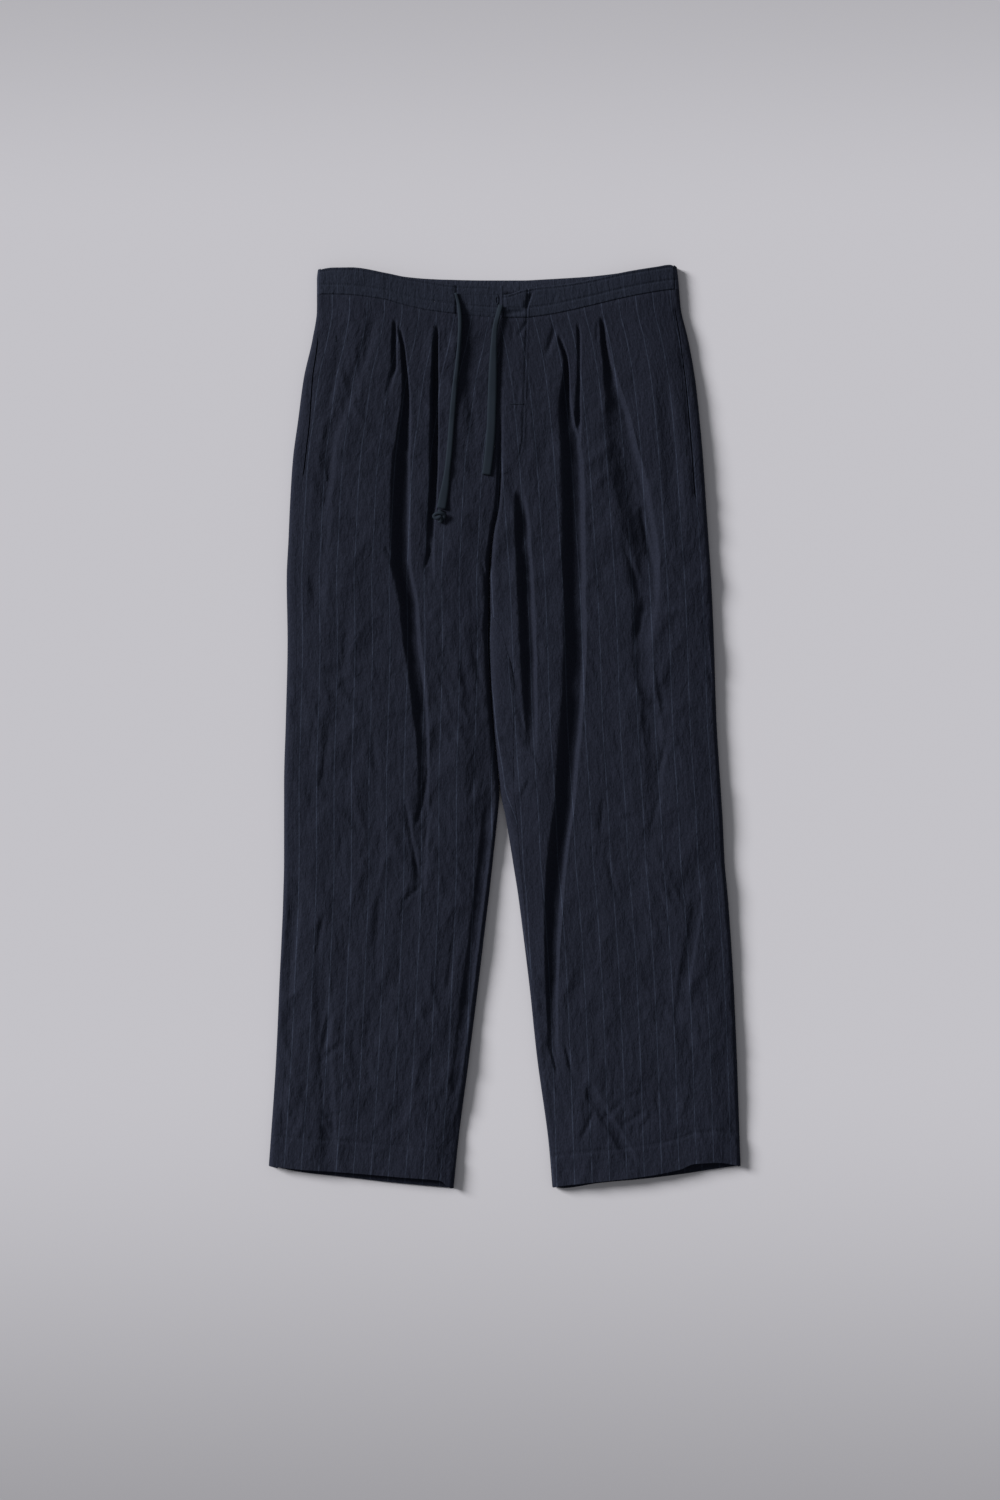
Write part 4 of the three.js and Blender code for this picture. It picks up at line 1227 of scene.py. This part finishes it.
def add_rings(name, rings, material):
    """A closed tube through rings of points, in millimetres."""
    count, sides = rings.shape[:2]
    points = np.concatenate([rings.reshape(-1, 3), [rings[0].mean(0)], [rings[-1].mean(0)]])
    index = np.arange(count * sides).reshape(count, sides)
    onward = np.roll(index, -1, axis=1)
    faces = np.stack([index[:-1], onward[:-1], onward[1:], index[1:]], -1).reshape(-1, 4).tolist()
    faces += [(len(points) - 2, k, j) for j, k in zip(index[0].tolist(), onward[0].tolist())]
    faces += [(len(points) - 1, j, k) for j, k in zip(index[-1].tolist(), onward[-1].tolist())]
    mesh = bpy.data.meshes.new(name)
    mesh.from_pydata((points * MM).tolist(), [], faces)
    shade_smooth(mesh)
    mesh.materials.append(material)
    mesh.update()
    bm = bmesh.new()
    bm.from_mesh(mesh)
    bmesh.ops.recalc_face_normals(bm, faces=bm.faces)
    bm.to_mesh(mesh)
    bm.free()
    return add_object(name, mesh)


def tape_rings(route, half_wide, end_lift, tall):
    """Rings of a flat tape that rests on the cloth below it, and the line of their centres."""
    line, places = curve_through(route, TAPE_STEP)
    tangent = unit(np.gradient(line, axis=0))
    side = np.stack([-tangent[:, 1], tangent[:, 0]], axis=1)
    share = places / places[-1]
    wide = half_wide(share)
    lanes = np.linspace(-1, 1, TAPE_LANES)
    x = line[:, 0, None] + side[:, 0, None] * wide[:, None] * lanes
    drop = line[:, 1, None] + side[:, 1, None] * wide[:, None] * lanes
    rest = cloth_top(x, drop)
    rest = running_max(running_max(rest, 3).T, 2).T
    rest = smoothed(rest, 6) + SEAM_GAP + end_lift(share)[:, None]
    bulge = 0.25 + 0.75 * np.sqrt(1 - 0.75 * lanes ** 4)
    top = points_at(x, drop, rest + (TAPE_WALL + tall(share))[:, None] * bulge)
    low = points_at(x, drop, rest + 0 * x)
    rings = np.concatenate([top, low[:, ::-1]], axis=1)
    return rings, rings.mean(axis=1)


class TROUSERS_OT_drawstring(bpy.types.Operator):
    """Makes the two free ends of the drawstring and the knot in the left one"""
    bl_idname = "trousers.drawstring"
    bl_label = "Drawstring"

    def execute(self, context):
        cloth = cloth_material("tape_wool", "tape", "tape")
        line, places = curve_through(KNOT_PATH, KNOT_STEP)
        tangent = unit(np.gradient(line, axis=0))
        across = unit(np.cross(tangent, np.array([0, 0, 1.0])))
        up = np.cross(across, tangent)
        turn = np.linspace(0, 2 * math.pi, KNOT_SIDES, endpoint=False)
        share = places / places[-1]
        wide = KNOT_HALF_WIDE - KNOT_NARROWER * np.sin(math.pi * share)
        wide = wide + KNOT_UNEVEN * np.sin(KNOT_WAVES * share)
        rings = line[:, None] + across[:, None] * (wide[:, None] * np.cos(turn))[..., None]
        rings = rings + up[:, None] * (KNOT_HALF_THICK * np.sin(turn))[None, :, None]
        rings = rings * np.array(KNOT_PULLED) + np.array([KNOT_X, LENGTH / 2 - KNOT_DROP, 0])
        x, drop = rings[..., 0], LENGTH / 2 - rings[..., 1]
        rings[..., 2] = rings[..., 2] - rings[..., 2].min() + cloth_top(x, drop).max() + SEAM_GAP
        knot = add_rings("tape_knot", rings, cloth)
        dress(knot, "drawstring_knot")

        def left_width(share):
            narrowed = 0.32 + 0.15 * smooth_step(share, 0, 0.12)
            narrowed = narrowed + 0.18 * smooth_step(share, 0.25, 0.55) + 0.35 * smooth_step(share, 0.8, 0.97)
            return TAPE_WIDTH / 2 * narrowed

        def left_tall(share):
            """The tape stands on its edge below the band and turns flat towards its knot."""
            standing = smooth_step(share, 0.02, 0.12) * (1 - 0.8 * smooth_step(share, 0.28, 0.55))
            return TAPE_TALL["left"] * standing * (1 - smooth_step(share, 0.7, 1))

        def left_lift(share):
            return TAPE_END_LIFT * smooth_step(share, 0.94, 1)

        def right_width(share):
            return TAPE_WIDTH / 2 * (0.55 + 0.45 * smooth_step(share, 0.03, 0.5))

        def right_lift(share):
            return TAPE_HOVER + TAPE_BULGE * smooth_step(share, 0, 0.08) * (1 - smooth_step(share, 0.15, 0.5))

        def right_tall(share):
            return TAPE_TALL["right"] * smooth_step(share, 0, 0.1) * (1 - smooth_step(share, 0.2, 0.9))

        tapes = {
            "left": (ROUTE_LEFT, left_width, left_lift, left_tall, "knot", [knot]),
            "right": (ROUTE_RIGHT, right_width, right_lift, right_tall, "bare", []),
        }
        for side, (route, wide, lift, tall, far_end, on_it) in tapes.items():
            rings, centres = tape_rings(route, wide, lift, tall)
            tape = add_rings(f"tape_{side}", rings, cloth)
            dress(tape, f"drawstring_{side}")
        return {"FINISHED"}


def dress(piece, node):
    """The piece moves with the trousers and stands for its solid."""
    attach(piece, "root")
    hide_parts(node)


# Stitching
def stitch_group(across):
    """Geometry Nodes that lay a thread's stitches along lines, lengthwise or across them."""
    name = "stitches_across" if across else "stitches_along"
    if name in bpy.data.node_groups:
        return bpy.data.node_groups[name]
    tree = bpy.data.node_groups.new(name, "GeometryNodeTree")
    face = tree.interface
    face.new_socket("Geometry", in_out="INPUT", socket_type="NodeSocketGeometry")
    for label in ("Pitch", "Stitch length", "Thread width"):
        face.new_socket(label, in_out="INPUT", socket_type="NodeSocketFloat")
    face.new_socket("Material", in_out="INPUT", socket_type="NodeSocketMaterial")
    face.new_socket("Geometry", in_out="OUTPUT", socket_type="NodeSocketGeometry")
    start = add_node(tree, "NodeGroupInput").outputs
    curve = add_node(tree, "GeometryNodeMeshToCurve", inputs={"Mesh": start["Geometry"]})
    spaced = add_node(tree, "GeometryNodeResampleCurve", {"mode": "LENGTH"}, {
        "Curve": curve.outputs["Curve"],
        "Length": start["Pitch"],
    })
    size = add_node(tree, "ShaderNodeCombineXYZ", inputs={
        "X": start["Stitch length"],
        "Y": start["Thread width"],
        "Z": start["Thread width"],
    })
    thread = add_node(tree, "GeometryNodeMeshUVSphere", inputs={"Segments": 6, "Rings": 4, "Radius": 0.5})
    tangent = add_node(tree, "GeometryNodeInputTangent").outputs["Tangent"]
    if across:
        tangent = add_node(tree, "ShaderNodeVectorMath", {"operation": "CROSS_PRODUCT"}, {
            0: tangent,
            1: (0.25, 0.0, 1.0),
        }).outputs["Vector"]
    turned = add_node(tree, "FunctionNodeAlignEulerToVector", {"axis": "X"}, {"Vector": tangent})
    placed = add_node(tree, "GeometryNodeInstanceOnPoints", inputs={
        "Points": spaced.outputs["Curve"],
        "Instance": thread.outputs["Mesh"],
        "Rotation": turned.outputs["Rotation"],
        "Scale": size.outputs["Vector"],
    })
    real = add_node(tree, "GeometryNodeRealizeInstances", inputs={"Geometry": placed.outputs["Instances"]})
    dressed = add_node(tree, "GeometryNodeSetMaterial", inputs={
        "Geometry": real.outputs["Geometry"],
        "Material": start["Material"],
    })
    add_node(tree, "NodeGroupOutput", inputs={"Geometry": dressed.outputs["Geometry"]})
    return tree


def sew(name, lines, material, pitch, length, thread, across=False):
    """Turns lines of points, in millimetres, into one mesh of stitches."""
    points, edges = [], []
    for line in lines:
        edges += [(len(points) + k, len(points) + k + 1) for k in range(len(line) - 1)]
        points += list(map(tuple, np.asarray(line) * MM))
    mesh = bpy.data.meshes.new(name)
    mesh.from_pydata(points, edges, [])
    guide = add_object(name, mesh)
    tree = stitch_group(across)
    modifier = guide.modifiers.new("stitches", "NODES")
    modifier.node_group = tree
    values = {"Pitch": pitch * MM, "Stitch length": length * MM, "Thread width": thread * MM}
    values["Material"] = material
    for item in tree.interface.items_tree:
        if item.in_out == "INPUT" and item.name in values:
            modifier[item.identifier] = values[item.name]
    bpy.context.view_layer.update()
    graph = bpy.context.evaluated_depsgraph_get()
    made = bpy.data.meshes.new_from_object(guide.evaluated_get(graph))
    guide.modifiers.clear()
    guide.data = made
    shade_smooth(made)
    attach(guide, "root")
    return guide


def on_cloth(x, drop, lift=THREAD_LIFT):
    """Points on the fronts' outer face, raised a little."""
    x, drop = np.broadcast_arrays(np.asarray(x, float), np.asarray(drop, float))
    return points_at(x, drop, cloth_top(x, drop) + lift)


def span_steps(start, end):
    return np.linspace(start, end, max(2, int(abs(end - start) / STITCH_STEP) + 1))


def hem_line(side, front):
    start, end = sorted((outer_edge(side, HEM_STITCH_DROP), inner_edge(side, HEM_STITCH_DROP)))
    x = span_steps(start + HEM_STITCH_INSET, end - HEM_STITCH_INSET)
    if front:
        return on_cloth(x, HEM.front(x) - HEM_DEPTH)
    return points_at(x, HEM.back(x) - HEM_DEPTH, 0 * x - UNDER_THREAD)


def ring_on_tab(x, drop, wide, long, lift):
    """Points round an upright oval on the tab."""
    turn = np.linspace(0, 2 * math.pi, 41)
    z = float(cloth_top(x, drop)) - TAB_LOWER + lift
    return points_at(x + wide * np.cos(turn), drop - long * np.sin(turn), z + 0 * turn)


class TROUSERS_OT_stitches(bpy.types.Operator):
    """Sews the hems, the waistband's topstitching, the fly, the bar tacks and the buttonhole"""
    bl_idname = "trousers.stitches"
    bl_label = "Stitches"

    def execute(self, context):
        thread = thread_material()
        pitch = context.scene.trousers_sizes.stitch
        plain = (thread, pitch, pitch * STITCH_SHARE, THREAD)
        for side in SIDES:
            lines = [hem_line(side, True)]
            if side == "right":
                drop = span_steps(FLY_STARTS + 2, FLY_TURNS)
                x = fly_edge(drop) - FLY_STITCH
                turn = np.linspace(0, QUARTER * 0.96, 24)
                curve_x = FLY_SEAM_X + (FLY_LOW_X - FLY_STITCH - FLY_SEAM_X) * np.cos(turn)
                curve_drop = FLY_TURNS + (FLY_ENDS - FLY_STITCH - FLY_TURNS) * np.sin(turn)
                x = np.concatenate([x, curve_x[1:]])
                lines.append(on_cloth(x, np.concatenate([drop, curve_drop[1:]])))
            sew(f"stitches_front_{side}", lines, *plain)
            sew(f"stitches_back_{side}", [hem_line(side, False)], *plain)
        across = {"left": span_steps(BAND_STITCH_FROM, TAB_FROM - 2),
                  "right": span_steps(TAB_TO + 3, BAND_STITCH_TO)}
        lines = []
        for x in across.values():
            lines.append(on_cloth(x, WAIST.front_seam(x) - BAND_LOW_STITCH))
            lines.append(on_cloth(x, WAIST.front_top(x) + BAND_TOP_STITCH))
        x = span_steps(TAB_FROM + 2, TAB_TO - 2)
        for drop in (TAB_TOP + TAB_STITCH + 0 * x, WAIST.front_seam(x) - BAND_LOW_STITCH / 2):
            lines.append(on_cloth(x, drop, THREAD_LIFT - TAB_LOWER))
        sew("stitches_band", lines, *plain)
        share = np.linspace(-1, 1, 9)
        tacks = []
        for x, drop, wide, long in TACKS:
            tacks.append(on_cloth(x + wide * share, drop + long * share, TACK_LIFT))
        sew("bar_tacks", tacks, thread, *TACK_THREAD, across=True)
        rings = [ring_on_tab(BUTTONHOLE_X, BUTTONHOLE_DROP, *HOLE_SIZE, HOLE_LIFT)]
        hole = sew("buttonhole_stitches", rings, thread, *HOLE_THREAD, across=True)
        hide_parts("buttonhole")
        return {"FINISHED"}


class TROUSERS_PT_panel(bpy.types.Panel):
    """Lists the steps that build the trousers"""
    bl_idname = "TROUSERS_PT_panel"
    bl_label = "Trousers"
    bl_space_type = "VIEW_3D"
    bl_region_type = "UI"
    bl_category = "Trousers"

    def draw(self, context):
        for step in STEPS:
            self.layout.operator(step.bl_idname)


STEPS = (
    TROUSERS_OT_stage,
    TROUSERS_OT_drawstring,
    TROUSERS_OT_fronts,
    TROUSERS_OT_backs,
    TROUSERS_OT_waistband,
    TROUSERS_OT_stitches,
)
GROUPS = {"trousers_sizes": TrousersSizes, "trousers_colours": TrousersColours}


def register():
    for name, group in GROUPS.items():
        bpy.utils.register_class(group)
        setattr(bpy.types.Scene, name, bpy.props.PointerProperty(type=group))
    for step in (*STEPS, TROUSERS_PT_panel):
        bpy.utils.register_class(step)


def unregister():
    for step in (*STEPS, TROUSERS_PT_panel):
        bpy.utils.unregister_class(step)
    for name, group in GROUPS.items():
        delattr(bpy.types.Scene, name)
        bpy.utils.unregister_class(group)


def main():
    register()
    bpy.ops.trousers.stage()
    bpy.ops.trousers.drawstring()
    bpy.ops.trousers.fronts()
    bpy.ops.trousers.backs()
    bpy.ops.trousers.waistband()
    bpy.ops.trousers.stitches()


if __name__ == "__main__":
    main()
